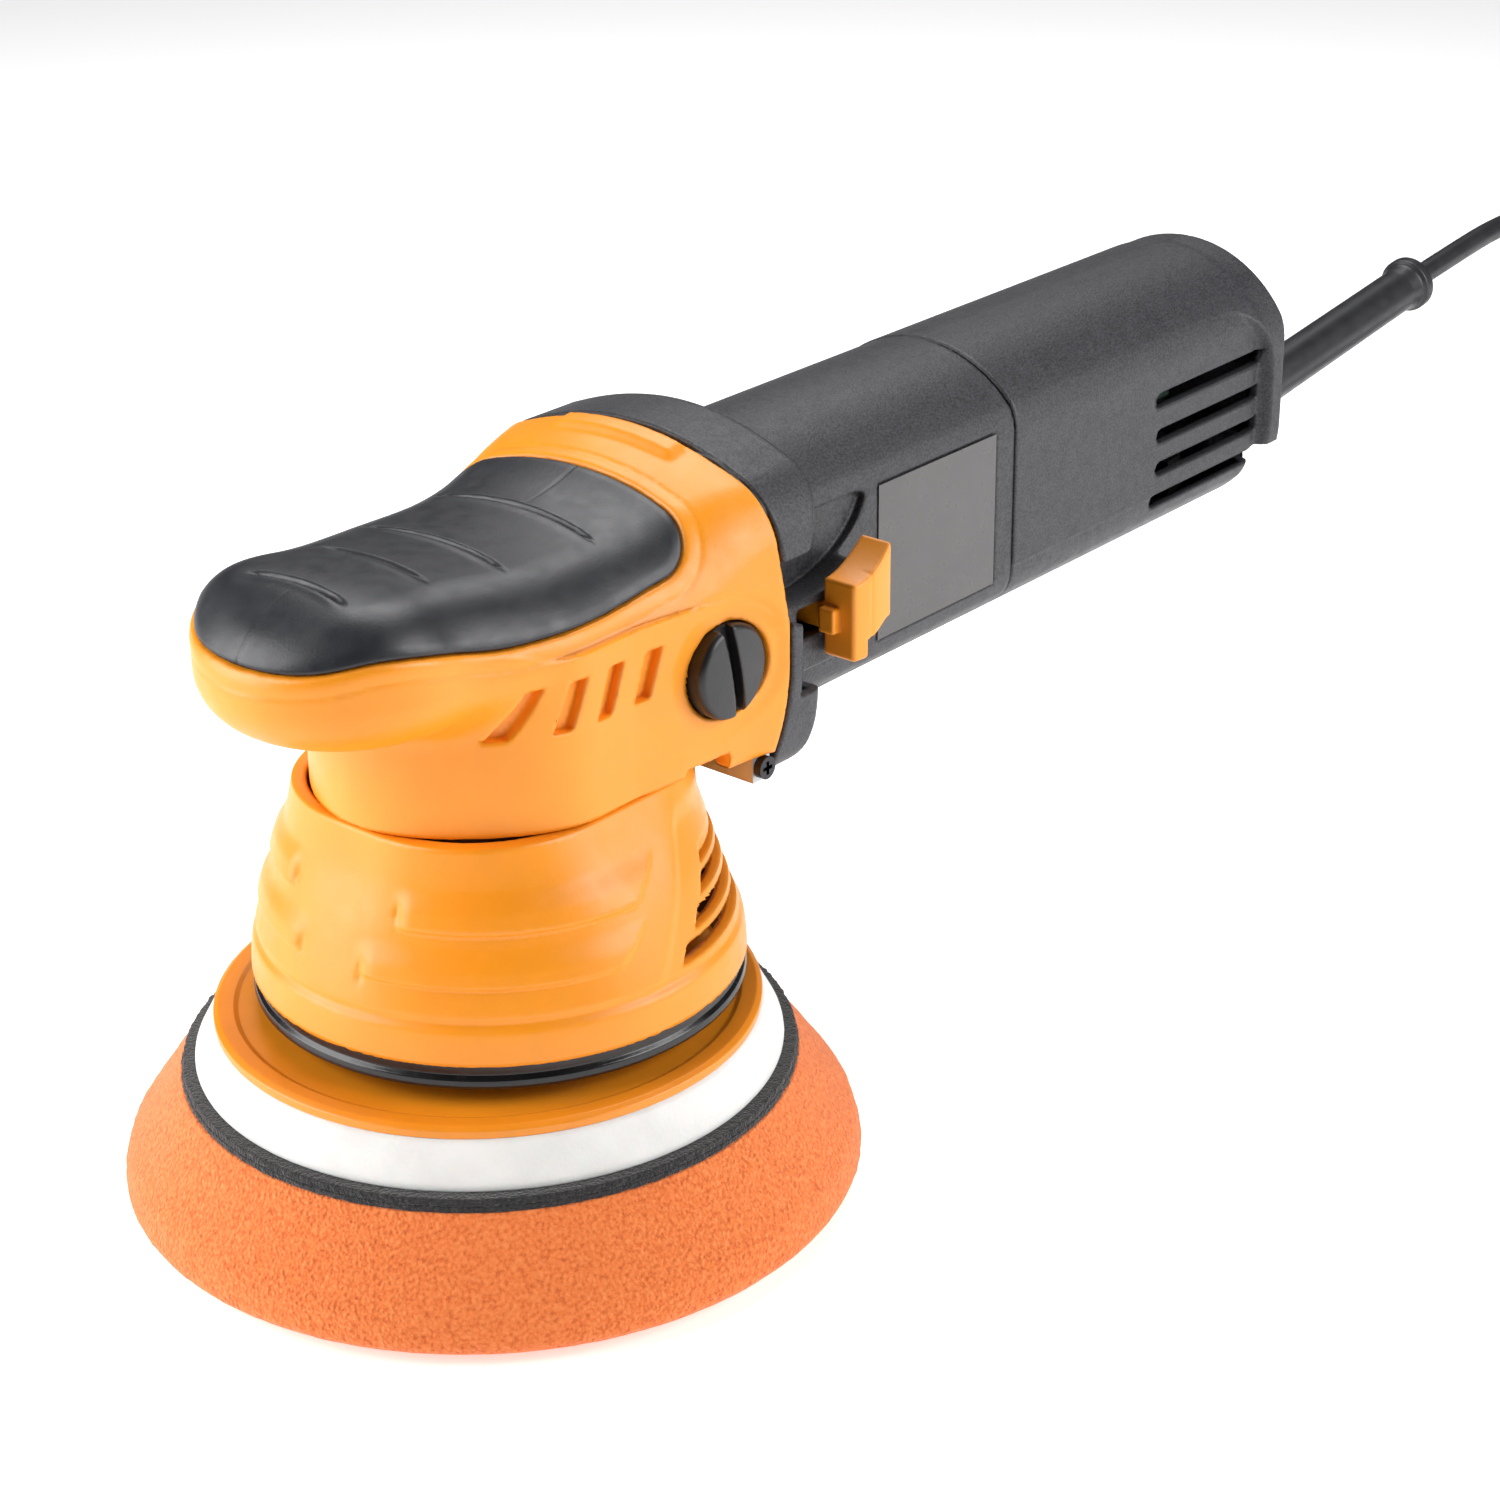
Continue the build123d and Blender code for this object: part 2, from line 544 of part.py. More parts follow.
def motor_shell(inset):
    """The motor housing's form, drawn in by an inset: flange, blend and flat-sided barrel."""
    start = HEAD_REAR + GASKET
    with BuildPart() as part:
        with BuildSketch(across(start)):
            add(flange_face(inset))
        extrude(amount=FLANGE_X - start)
        with BuildSketch(across(FLANGE_X)):
            add(flange_face(inset))
        extrude(amount=BLEND_X - FLANGE_X, taper=38)
        add(barrel(start, SEAM_X - start, BARREL_R - inset, FLAT - inset))
    return part.part


SLIDER_Z = 111.0
SLIDER_Y = -32.4          # the slider's inner face
ROD_Y = -22.6             # the flat rod between slider and switch
REAR_SCREWS = [(-14, 21), (14, -21)]  # y and z from the motor axis
with BuildPart() as motor_housing:
    add(motor_shell(0))
    with Locations((70, -28.5, SLIDER_Z + 1)):
        Box(28, 7, 26)
    add(motor_shell(SHELL), mode=Mode.SUBTRACT)
    with Locations((HEAD_REAR + GASKET, 0, MOTOR_Z)):
        Cylinder(29, 12, rotation=(0, 90, 0), align=(Align.CENTER, Align.CENTER, Align.MIN),
                 mode=Mode.SUBTRACT)
    with Locations((59.2, -39.2, SLIDER_Z + 1)):
        Box(21.6, 14, 23, mode=Mode.SUBTRACT)
    with Locations((68.5, -28, SLIDER_Z)):
        Box(17, 20, 7, mode=Mode.SUBTRACT)
    for side in (-1, 1):
        with Locations((116.5, side * FLAT, MOTOR_Z)):
            Box(43.7, 0.8, 36.7, mode=Mode.SUBTRACT)
    with BuildSketch(across(SEAM_X - 10)):
        Circle(BARREL_R - SHELL)
        Rectangle(2 * (FLAT - SHELL), 80, mode=Mode.INTERSECT)
        Circle(8.5, mode=Mode.SUBTRACT)
        with Locations((0, 22), (0, -22)):
            Rectangle(14, 12, mode=Mode.SUBTRACT)
        with Locations((-20, 0), (20, 0)):
            Rectangle(8, 24, mode=Mode.SUBTRACT)
        with Locations(*REAR_SCREWS):
            Circle(1.9, mode=Mode.SUBTRACT)
    extrude(amount=9.0)
    with BuildSketch(across(SEAM_X - 7.5)):
        Circle(9.5)
    extrude(amount=7.5, mode=Mode.SUBTRACT)
motor_housing.part.label = "motor_housing"
export_step(motor_housing.part, "parts/motor_housing.step")

with BuildPart() as name_plates:
    for side in (-1, 1):
        with Locations((116.5, side * (FLAT - 0.2), MOTOR_Z)):
            Box(43.2, 0.4, 36.2)
name_plates.part.label = "name_plates"
export_step(name_plates.part, "parts/name_plates.step")

with BuildPart() as switch_slider:
    with BuildSketch(Plane.XY.offset(SLIDER_Z - 12)):
        with BuildLine():
            Polyline((68, SLIDER_Y - 0.1), (68, -41.3), (71, -41.8), (80.8, -41.2), (81.4, -38.6),
                     (81.4, SLIDER_Y - 0.1), close=True)
        make_face()
    extrude(amount=30)
    with BuildSketch(Plane.XZ.offset(60)):
        with BuildLine():
            Polyline((60, 119.5), (68.2, 119.8), (74, 121.4), (81, 125.8), (90, 125.8), (90, 109), (81, 109),
                     (73, 106.4), (71.5, 102), (60, 102), close=True)
        make_face()
    extrude(amount=-120, mode=Mode.INTERSECT)
    with Locations((67.2, -35.5, SLIDER_Z - 2)):
        Box(1.6, 4, 8)
    with Locations((70.5, ROD_Y - 1, SLIDER_Z)):
        Box(5, 9, 6.2, align=(Align.CENTER, Align.MAX, Align.CENTER))
switch_slider.part.label = "switch_slider"
export_step(switch_slider.part, "parts/switch_slider.step")

with BuildPart() as switch_rod:
    with Locations((123, ROD_Y, SLIDER_Z)):
        Box(104, 2.0, 5)
    with Locations((71.5, ROD_Y, SLIDER_Z)):
        Box(7, 2.0, 9)
switch_rod.part.label = "switch_rod"
export_step(switch_rod.part, "parts/switch_rod.step")

# ================================================================ rear cover
boot_axis = Vector(*BOOT_TIP) - Vector(*BOOT_START)
boot_plane = Plane(origin=BOOT_START, z_dir=boot_axis.normalized())
BOOT_R, COLLAR_R = 6.1, 7.6
REAR_WALL = 3.0
SLOT_HEIGHTS = (121.4, 111.8, 103.6, 95.6)
STEP_Z, STEP_X = 97.0, 251.0          # the lower part of the end is set forward
with BuildPart() as rear_cover:
    add(barrel(SEAM_X, REAR_X - SEAM_X, BARREL_R, FLAT))
    fillet(rear_cover.edges().group_by(Axis.X)[-1], radius=2.4)
    add(barrel(SEAM_X, STEP_X - REAR_WALL - SEAM_X, BARREL_R - SHELL, FLAT - SHELL), mode=Mode.SUBTRACT)
    with BuildSketch(across(STEP_X - REAR_WALL)):
        Circle(BARREL_R - SHELL)
        Rectangle(2 * (FLAT - SHELL), 80, mode=Mode.INTERSECT)
        with Locations((0, STEP_Z + REAR_WALL - MOTOR_Z)):
            Rectangle(80, 60, align=(Align.CENTER, Align.MIN), mode=Mode.INTERSECT)
    extrude(amount=REAR_X - STEP_X, mode=Mode.SUBTRACT)
    with Locations((STEP_X, 0, STEP_Z)):
        Box(20, 80, 60, align=(Align.MIN, Align.CENTER, Align.MAX), mode=Mode.SUBTRACT)
    with BuildSketch(boot_plane.offset(-30)):
        Circle(BOOT_R)
    extrude(amount=60, mode=Mode.SUBTRACT)
    with BuildSketch(Plane.XZ.offset(-60)):
        for height in SLOT_HEIGHTS:
            with Locations((226, height)):
                SlotOverall(46, 3.6)
    extrude(amount=120, mode=Mode.SUBTRACT)
    with Locations((165, FLAT, MOTOR_Z)):
        Box(22, 12, 7.2, mode=Mode.SUBTRACT)
rear_cover.part.label = "rear_cover"
export_step(rear_cover.part, "parts/rear_cover.step")

DIAL_X, DIAL_Y, DIAL_R, DIAL_H = 165.0, 19.2, 9.8, 5.6
with BuildPart() as speed_dial:
    with BuildSketch(Plane(origin=(DIAL_X, DIAL_Y, MOTOR_Z - DIAL_H / 2))):
        Circle(DIAL_R)
        Circle(2.5 + RUN_FIT, mode=Mode.SUBTRACT)
        with PolarLocations(DIAL_R, 30):
            Circle(0.45, mode=Mode.SUBTRACT)
    extrude(amount=DIAL_H)
speed_dial.part.label = "speed_dial"
export_step(speed_dial.part, "parts/speed_dial.step")

with BuildPart() as dial_post:
    with Locations((DIAL_X, DIAL_Y, MOTOR_Z - 8)):
        Cylinder(2.5, 16, align=(Align.CENTER, Align.CENTER, Align.MIN))
    with Locations((DIAL_X + 3, DIAL_Y - 1, MOTOR_Z - 9)):
        Box(16, 9, 3)
dial_post.part.label = "dial_post"
export_step(dial_post.part, "parts/dial_post.step")

with BuildPart() as control_board:
    with Locations((212, 0, MOTOR_Z + 12)):
        Box(56, 40, 1.6)
    with Locations((200, 6, MOTOR_Z + 6.2), (222, -8, MOTOR_Z + 6.2)):
        Box(14, 12, 10)
    with Locations((226, 11, MOTOR_Z + 5.2)):
        Cylinder(5, 12)
control_board.part.label = "control_board"
export_step(control_board.part, "parts/control_board.step")

with BuildPart() as switch_body:
    with Locations((187, -16, SLIDER_Z)):
        Box(24, 11, 16)
    with Locations((181, -22.6, SLIDER_Z)):
        Box(6, 2.2, 3)
switch_body.part.label = "switch_body"
export_step(switch_body.part, "parts/switch_body.step")

with BuildPart() as rear_screws:
    for y, z in REAR_SCREWS:
        place = Plane(origin=(SEAM_X - 1, y, MOTOR_Z + z), x_dir=(0, 1, 0), z_dir=(1, 0, 0))
        add(cap_screw(place, 9.0, radius=1.9, head_r=3.2))
rear_screws.part.label = "rear_screws"
export_step(rear_screws.part, "parts/rear_screws.step")

# ================================================================ motor
ARMATURE_END = 144.0
with BuildPart() as armature_shaft:
    with BuildSketch(across(14)):
        Circle(2.5)
    extrude(amount=12)
    with BuildSketch(across(26)):
        Circle(SHAFT_R)
    extrude(amount=ARMATURE_END - 26)
armature_shaft.part.label = "armature_shaft"
export_step(armature_shaft.part, "parts/armature_shaft.step")

with BuildPart() as bevel_pinion:
    with BuildSketch(across(GEAR_BORE_R)):
        Circle(CONE * GEAR_BORE_R - 0.2)
    with BuildSketch(across(GEAR_R)):
        Circle(CONE * GEAR_R - 0.2)
    loft()
    with BuildSketch(across(GEAR_R)):
        Circle(5.6)
    extrude(amount=2)
    with BuildSketch(across(14)):
        Circle(2.5)
    extrude(amount=12, mode=Mode.SUBTRACT)
    with BuildSketch(across(14)):
        with PolarLocations(6.6, PINION_TEETH):
            Rectangle(2.6, 1.5)
    extrude(amount=14, mode=Mode.SUBTRACT)
bevel_pinion.part.label = "bevel_pinion"
export_step(bevel_pinion.part, "parts/bevel_pinion.step")

with BuildPart() as front_bearing:
    add(bearing(FRONT_BEARING_W, FRONT_BEARING_R, SHAFT_R + RUN_FIT, across(FRONT_BEARING_X)))
front_bearing.part.label = "front_bearing"
export_step(front_bearing.part, "parts/front_bearing.step")

with BuildPart() as bearing_retainer:
    with BuildSketch(across(FRONT_BEARING_X + FRONT_BEARING_W)):
        Circle(FRONT_BEARING_R)
        Circle(6, mode=Mode.SUBTRACT)
    extrude(amount=3)
bearing_retainer.part.label = "bearing_retainer"
export_step(bearing_retainer.part, "parts/bearing_retainer.step")

with BuildPart() as rear_bearing:
    add(bearing(6, 9.5, SHAFT_R + RUN_FIT, across(SEAM_X - 7.5)))
rear_bearing.part.label = "rear_bearing"
export_step(rear_bearing.part, "parts/rear_bearing.step")

FAN_BLADES = 11
with BuildPart() as fan:
    with BuildSketch(across(FAN_X)):
        Circle(FAN_R)
    extrude(amount=1.6)
    with BuildSketch(across(FAN_X)):
        Circle(8)
    extrude(amount=10)
    with BuildSketch(across(FAN_X + 1.6)):
        with PolarLocations(FAN_R - 8.6, FAN_BLADES):
            Rectangle(16, 1.4, rotation=28)
    extrude(amount=7)
    with BuildSketch(across(FAN_X)):
        Circle(SHAFT_R)
    extrude(amount=10, mode=Mode.SUBTRACT)
fan.part.label = "fan"
export_step(fan.part, "parts/fan.step")

with BuildPart() as armature_core:
    with BuildSketch(across(CORE_X)):
        Circle(CORE_R)
        Circle(SHAFT_R, mode=Mode.SUBTRACT)
        with PolarLocations(CORE_R - 3.4, 12):
            Rectangle(6.2, 2.6, mode=Mode.SUBTRACT)
            with Locations((3.2, 0)):
                Rectangle(2, 1.2, mode=Mode.SUBTRACT)
    extrude(amount=CORE_LENGTH)
armature_core.part.label = "armature_core"
export_step(armature_core.part, "parts/armature_core.step")

with BuildPart() as armature_winding:
    for start in (CORE_X - 5.5, CORE_X + CORE_LENGTH):
        with BuildSketch(across(start)):
            Circle(14.6)
            Circle(SHAFT_R + 2, mode=Mode.SUBTRACT)
        extrude(amount=5.5)
    with BuildSketch(across(CORE_X)):
        with PolarLocations(CORE_R - 3.4, 12):
            Rectangle(5.6, 2.2)
    extrude(amount=CORE_LENGTH)
armature_winding.part.label = "armature_winding"
export_step(armature_winding.part, "parts/armature_winding.step")

with BuildPart() as commutator:
    with BuildSketch(across(COMMUTATOR_X)):
        Circle(COMMUTATOR_R)
        Circle(SHAFT_R, mode=Mode.SUBTRACT)
        with PolarLocations(COMMUTATOR_R, 24):
            Rectangle(1.6, 0.5, mode=Mode.SUBTRACT)
    extrude(amount=9.5)
commutator.part.label = "commutator"
export_step(commutator.part, "parts/commutator.step")

STATOR_R, STATOR_FLAT, STATOR_BORE = 30.6, 21.2, 17.3
COIL_PLACES = [(x, y) for x in (-15.4, 15.4) for y in (-16.6, 16.6)]
with BuildPart() as stator_core:
    with BuildSketch(across(CORE_X)):
        Circle(STATOR_R)
        Rectangle(2 * STATOR_FLAT, 80, mode=Mode.INTERSECT)
        Circle(STATOR_BORE, mode=Mode.SUBTRACT)
        with Locations(*COIL_PLACES):
            Circle(3.2, mode=Mode.SUBTRACT)
    extrude(amount=CORE_LENGTH)
stator_core.part.label = "stator_core"
export_step(stator_core.part, "parts/stator_core.step")

with BuildPart() as field_coils:
    with BuildSketch(across(CORE_X)):
        with Locations(*COIL_PLACES):
            Circle(3.1)
    extrude(amount=CORE_LENGTH)
    for start in (CORE_X - 6, CORE_X + CORE_LENGTH):
        with BuildSketch(across(start)):
            Circle(26)
            Rectangle(2 * STATOR_FLAT - 2, 80, mode=Mode.INTERSECT)
            Circle(STATOR_BORE + 0.6, mode=Mode.SUBTRACT)
            Rectangle(80, 22, mode=Mode.SUBTRACT)
        extrude(amount=6)
field_coils.part.label = "field_coils"
export_step(field_coils.part, "parts/field_coils.step")

with BuildPart() as air_baffle:
    with BuildSketch(across(62.2)):
        Circle(28)
        Rectangle(2 * (FLAT - SHELL) - 0.6, 80, mode=Mode.INTERSECT)
        Circle(17, mode=Mode.SUBTRACT)
        with Locations((-24, SLIDER_Z - MOTOR_Z)):
            Rectangle(7, 12, mode=Mode.SUBTRACT)
    extrude(amount=2)
air_baffle.part.label = "air_baffle"
export_step(air_baffle.part, "parts/air_baffle.step")

BRUSH_X = COMMUTATOR_X + 4.5
with BuildPart() as carbon_brushes:
    for side in (-1, 1):
        with Locations((BRUSH_X, 0, MOTOR_Z + side * 15.9)):
            Box(5, 7, 9.2)
carbon_brushes.part.label = "carbon_brushes"
export_step(carbon_brushes.part, "parts/carbon_brushes.step")

with BuildPart() as brush_holders:
    for side in (-1, 1):
        with Locations((BRUSH_X, 0, MOTOR_Z + side * 20.5)):
            Box(7.4, 9.4, 17)
            Box(5, 7, 17, mode=Mode.SUBTRACT)
        with Locations((BRUSH_X, 0, MOTOR_Z + side * 29.5)):
            Box(7.4, 9.4, 1.6)
brush_holders.part.label = "brush_holders"
export_step(brush_holders.part, "parts/brush_holders.step")

with BuildPart() as brush_springs:
    for side in (-1, 1):
        with Locations((BRUSH_X, 0, MOTOR_Z + side * 24.6)):
            Cylinder(2.2, 8.2)
            Cylinder(1.5, 8.2, mode=Mode.SUBTRACT)
brush_springs.part.label = "brush_springs"
export_step(brush_springs.part, "parts/brush_springs.step")

# ================================================================ mains lead
LEAD_IN = 22.0            # length of lead inside the housing, to the clamp
with BuildPart() as lead_in:
    with BuildSketch(boot_plane.offset(-LEAD_IN)):
        Circle(CORD_R)
    extrude(amount=LEAD_IN + boot_axis.length)
lead_in.part.label = "lead_in"
export_step(lead_in.part, "parts/lead_in.step")

BOOT_ROOT = 16.0          # how far the boot reaches inside the cover
with BuildPart() as strain_relief:
    with BuildSketch(boot_plane.offset(-BOOT_ROOT)):
        Circle(BOOT_R)
    extrude(amount=BOOT_ROOT + boot_axis.length)
    with BuildSketch(boot_plane.offset(-BOOT_ROOT)):
        Circle(BOOT_R + 2.2)
    extrude(amount=3.2)
    with BuildSketch(boot_plane.offset(boot_axis.length - 3.6)):
        Circle(COLLAR_R)
    extrude(amount=3.0)
    with BuildSketch(boot_plane.offset(-BOOT_ROOT)):
        Circle(CORD_R)
    extrude(amount=BOOT_ROOT + boot_axis.length, mode=Mode.SUBTRACT)
strain_relief.part.label = "strain_relief"
export_step(strain_relief.part, "parts/strain_relief.step")

with BuildPart() as cord_clamp:
    with BuildSketch(boot_plane.offset(-LEAD_IN)):
        Rectangle(9, 20)
        Circle(CORD_R, mode=Mode.SUBTRACT)
    extrude(amount=5)
cord_clamp.part.label = "cord_clamp"
export_step(cord_clamp.part, "parts/cord_clamp.step")


def corner_radii(route):
    """The largest tidy arc at each corner of a route: 0.45 of the shorter run beside it."""
    points = [Vector(*point) for point in route]
    radii = []
    for before, corner, after in zip(points, points[1:], points[2:]):
        first, second = corner - before, after - corner
        half_turn = math.radians(first.get_angle(second)) / 2
        radii.append(0.45 * min(first.length, second.length) / math.tan(half_turn))
    return radii


def cord_tube(route, name):
    """A round tube of the lead's size along straight runs joined by tangent arcs."""
    radii = corner_radii(route)
    with BuildPart() as tube:
        with BuildLine() as path:
            FilletPolyline(*route, radius=radii)
        spine = path.wires()[0]
        with BuildSketch(Plane(origin=spine @ 0, z_dir=spine % 0)):
            Circle(CORD_R)
        sweep()
    length = spine.length
    print(name, "radii", [round(radius) for radius in radii], "length", round(length, 1),
          "volume ratio", round(tube.part.volume / (math.pi * CORD_R ** 2 * length), 4))
    return tube.part, length


with BuildPart() as power_cord:
    cord_part, cord_run = cord_tube(CORD_ROUTE, "power_cord")
    add(cord_part)
power_cord.part.label = "power_cord"
export_step(power_cord.part, "parts/power_cord.step")

with BuildPart() as cord_tail:
    tail_part, tail_run = cord_tube(TAIL_ROUTE, "cord_tail")
    add(tail_part)
cord_tail.part.label = "cord_tail"
export_step(cord_tail.part, "parts/cord_tail.step")

COIL_HALF_WIDTH = COIL_COLUMNS * CORD_R
COIL_HEIGHT = 2 * COIL_ROWS * CORD_R
with BuildPart() as cord_coil:
    with Locations((*COIL_CENTRE, 0)):
        Cylinder(COIL_MID_R + COIL_HALF_WIDTH, COIL_HEIGHT, align=(Align.CENTER, Align.CENTER, Align.MIN))
        Cylinder(COIL_MID_R - COIL_HALF_WIDTH, COIL_HEIGHT, mode=Mode.SUBTRACT,
                 align=(Align.CENTER, Align.CENTER, Align.MIN))
cord_coil.part.label = "cord_coil"
export_step(cord_coil.part, "parts/cord_coil.step")
coiled = COIL_TURNS * 2 * math.pi * COIL_MID_R
print("cord length", round(cord_run + tail_run + coiled, 1))

TIE_WALL = 1.0
with BuildPart() as cord_tie:
    with Locations((COIL_CENTRE[0], COIL_CENTRE[1] + COIL_MID_R, COIL_HEIGHT / 2 + TIE_WALL / 2)):
        Box(12, 2 * (COIL_HALF_WIDTH + TIE_WALL), COIL_HEIGHT + TIE_WALL)
    add(cord_coil.part, mode=Mode.SUBTRACT)
cord_tie.part.label = "cord_tie"
export_step(cord_tie.part, "parts/cord_tie.step")

PLUG_LENGTH, PLUG_WIDTH, PLUG_HEIGHT = 36.0, 34.0, 19.0
PIN_R, PIN_LENGTH, PIN_PITCH = 2.4, 19.0, 19.0
with BuildPart() as plug_body:
    with BuildSketch(Plane(origin=(PLUG_X, PLUG_Y, PLUG_Z), x_dir=(0, 1, 0), z_dir=(-1, 0, 0))):
        RectangleRounded(13, 13, 5)
    with BuildSketch(Plane(origin=(PLUG_X - PLUG_LENGTH, PLUG_Y, PLUG_Z), x_dir=(0, 1, 0), z_dir=(-1, 0, 0))):
        RectangleRounded(PLUG_WIDTH, PLUG_HEIGHT, 8)
    loft()
plug_body.part.label = "plug_body"
export_step(plug_body.part, "parts/plug_body.step")

with BuildPart() as plug_pins:
    with BuildSketch(Plane(origin=(PLUG_X - PLUG_LENGTH, PLUG_Y, PLUG_Z), x_dir=(0, 1, 0), z_dir=(-1, 0, 0))):
        with Locations((-PIN_PITCH / 2, 0), (PIN_PITCH / 2, 0)):
            Circle(PIN_R)
    extrude(amount=PIN_LENGTH)
    fillet(plug_pins.edges().group_by(Axis.X)[0], radius=1.2)
plug_pins.part.label = "plug_pins"
export_step(plug_pins.part, "parts/plug_pins.step")
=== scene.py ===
import bpy
import math
import numpy as np
from mathutils import Matrix, Vector


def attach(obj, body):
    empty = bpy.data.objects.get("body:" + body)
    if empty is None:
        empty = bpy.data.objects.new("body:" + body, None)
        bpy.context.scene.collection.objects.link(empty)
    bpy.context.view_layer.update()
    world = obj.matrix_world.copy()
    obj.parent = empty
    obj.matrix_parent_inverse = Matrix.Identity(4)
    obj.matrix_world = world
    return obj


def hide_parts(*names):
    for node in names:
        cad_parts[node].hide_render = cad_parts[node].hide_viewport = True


# Random-orbital car polisher.  The frame gives the CAD nodes and the moving bodies; this
# script adds the visible shells, soft parts and lead, and the finish of every piece.
# Shapes are worked out in millimetres and scaled to metres when a mesh is made.
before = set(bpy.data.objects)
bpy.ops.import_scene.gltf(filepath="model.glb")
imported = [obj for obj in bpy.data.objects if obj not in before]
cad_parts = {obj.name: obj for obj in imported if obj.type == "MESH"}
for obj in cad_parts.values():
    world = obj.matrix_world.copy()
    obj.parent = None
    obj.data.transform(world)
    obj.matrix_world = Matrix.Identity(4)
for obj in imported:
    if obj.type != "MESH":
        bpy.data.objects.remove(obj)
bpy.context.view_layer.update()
MM = 0.001


# ================================================================ camera, floor and light
TARGET = Vector((0.03414, -0.04052, 0.09427))
CAMERA_DISTANCE = 0.65702
CAMERA_AZIMUTH, CAMERA_ELEVATION, CAMERA_ROLL = (math.radians(v) for v in (-49.883, 24.738, -0.528))
LENS = 76.84


def sight(azimuth, elevation):
    """Unit vector from the object towards a viewer; azimuth 0 looks along +Y."""
    level = math.cos(elevation)
    return Vector((math.sin(azimuth) * level, -math.cos(azimuth) * level, math.sin(elevation)))


def aim(thing, place, at, roll=0.0):
    """Put a camera or light at a place, looking at a point, turned about its own axis."""
    back = (place - at).normalized()
    turn = back.to_track_quat("Z", "Y").to_matrix().to_4x4() @ Matrix.Rotation(roll, 4, "Z")
    thing.matrix_world = Matrix.Translation(place) @ turn


camera = bpy.data.objects.new("camera", bpy.data.cameras.new("camera"))
camera.data.lens = LENS
camera.data.clip_start = 0.01
bpy.context.scene.collection.objects.link(camera)
aim(camera, TARGET + CAMERA_DISTANCE * sight(CAMERA_AZIMUTH, CAMERA_ELEVATION), TARGET, CAMERA_ROLL)
bpy.context.scene.camera = camera
bpy.context.scene.view_settings.view_transform = "Standard"


def softbox(name, azimuth, elevation, distance, size, power):
    """A square studio light turned towards the tool."""
    lamp = bpy.data.lights.new(name, "AREA")
    lamp.size = size
    lamp.energy = power
    thing = bpy.data.objects.new(name, lamp)
    bpy.context.scene.collection.objects.link(thing)
    aim(thing, TARGET + distance * sight(math.radians(azimuth), math.radians(elevation)), TARGET)


softbox("softbox_left", -130, 22, 1.0, 0.8, 13)
softbox("softbox_right", 28, 26, 1.0, 0.7, 10)
softbox("softbox_top", 128, 58, 1.1, 0.8, 9)


# ================================================================ meshes from fields
def smooth_union(a, b, k):
    """Join two fields with a fillet about k wide."""
    h = np.clip(0.5 + 0.5 * (b - a) / k, 0, 1)
    return b + (a - b) * h - k * h * (1 - h)


def smooth_cut(a, b, k):
    """Field a with field b taken out of it, with softened edges."""
    return -smooth_union(-a, b, k)


def round_meet(a, b, radius):
    """What is inside both fields, with the edge between them rounded to a radius."""
    a, b = a + radius, b + radius
    return np.hypot(np.maximum(a, 0), np.maximum(b, 0)) + np.minimum(np.maximum(a, b), 0) - radius


def ramp(value, start, end):
    """0 before start, 1 after end, smooth between."""
    t = np.clip((value - start) / (end - start), 0, 1)
    return t * t * (3 - 2 * t)


def bump(value, centre, width):
    """A rounded ridge of height 1 at the centre."""
    return np.exp(-((value - centre) / width) ** 2)


def block(x, y, z, low, high, radius):
    """A box with rounded edges."""
    q = [np.abs(v - (a + b) / 2) - (b - a) / 2 + radius for v, a, b in zip((x, y, z), low, high)]
    outside = np.sqrt(sum(np.maximum(v, 0) ** 2 for v in q))
    return outside + np.minimum(np.maximum(np.maximum(q[0], q[1]), q[2]), 0) - radius


def curve_through(*points):
    """A natural cubic spline through (position, value) points, level outside them."""
    t, v = (np.array(c, float) for c in zip(*points))
    h = np.diff(t)
    n = len(t)
    system, right = np.eye(n), np.zeros(n)
    for i in range(1, n - 1):
        system[i, i - 1:i + 2] = h[i - 1], 2 * (h[i - 1] + h[i]), h[i]
        right[i] = 6 * ((v[i + 1] - v[i]) / h[i] - (v[i] - v[i - 1]) / h[i - 1])
    bend = np.linalg.solve(system, right)

    def value(at):
        at = np.clip(at, t[0], t[-1])
        i = np.clip(np.searchsorted(t, at) - 1, 0, n - 2)
        a, b = t[i + 1] - at, at - t[i]
        return ((bend[i] * a ** 3 + bend[i + 1] * b ** 3) / (6 * h[i])
                + (v[i] / h[i] - bend[i] * h[i] / 6) * a + (v[i + 1] / h[i] - bend[i + 1] * h[i] / 6) * b)
    return value


def slope(field, p, reach):
    """Gradient of a field at points, from four samples around each."""
    corners = np.array([(1, -1, -1), (-1, -1, 1), (-1, 1, -1), (1, 1, 1)], float)
    total = np.zeros_like(p)
    for c in corners:
        q = p + reach * c
        total += np.outer(field(q[:, 0], q[:, 1], q[:, 2]), c)
    return total / (4 * reach)


def unit(v):
    return v / np.maximum(np.linalg.norm(v, axis=1, keepdims=True), 1e-12)


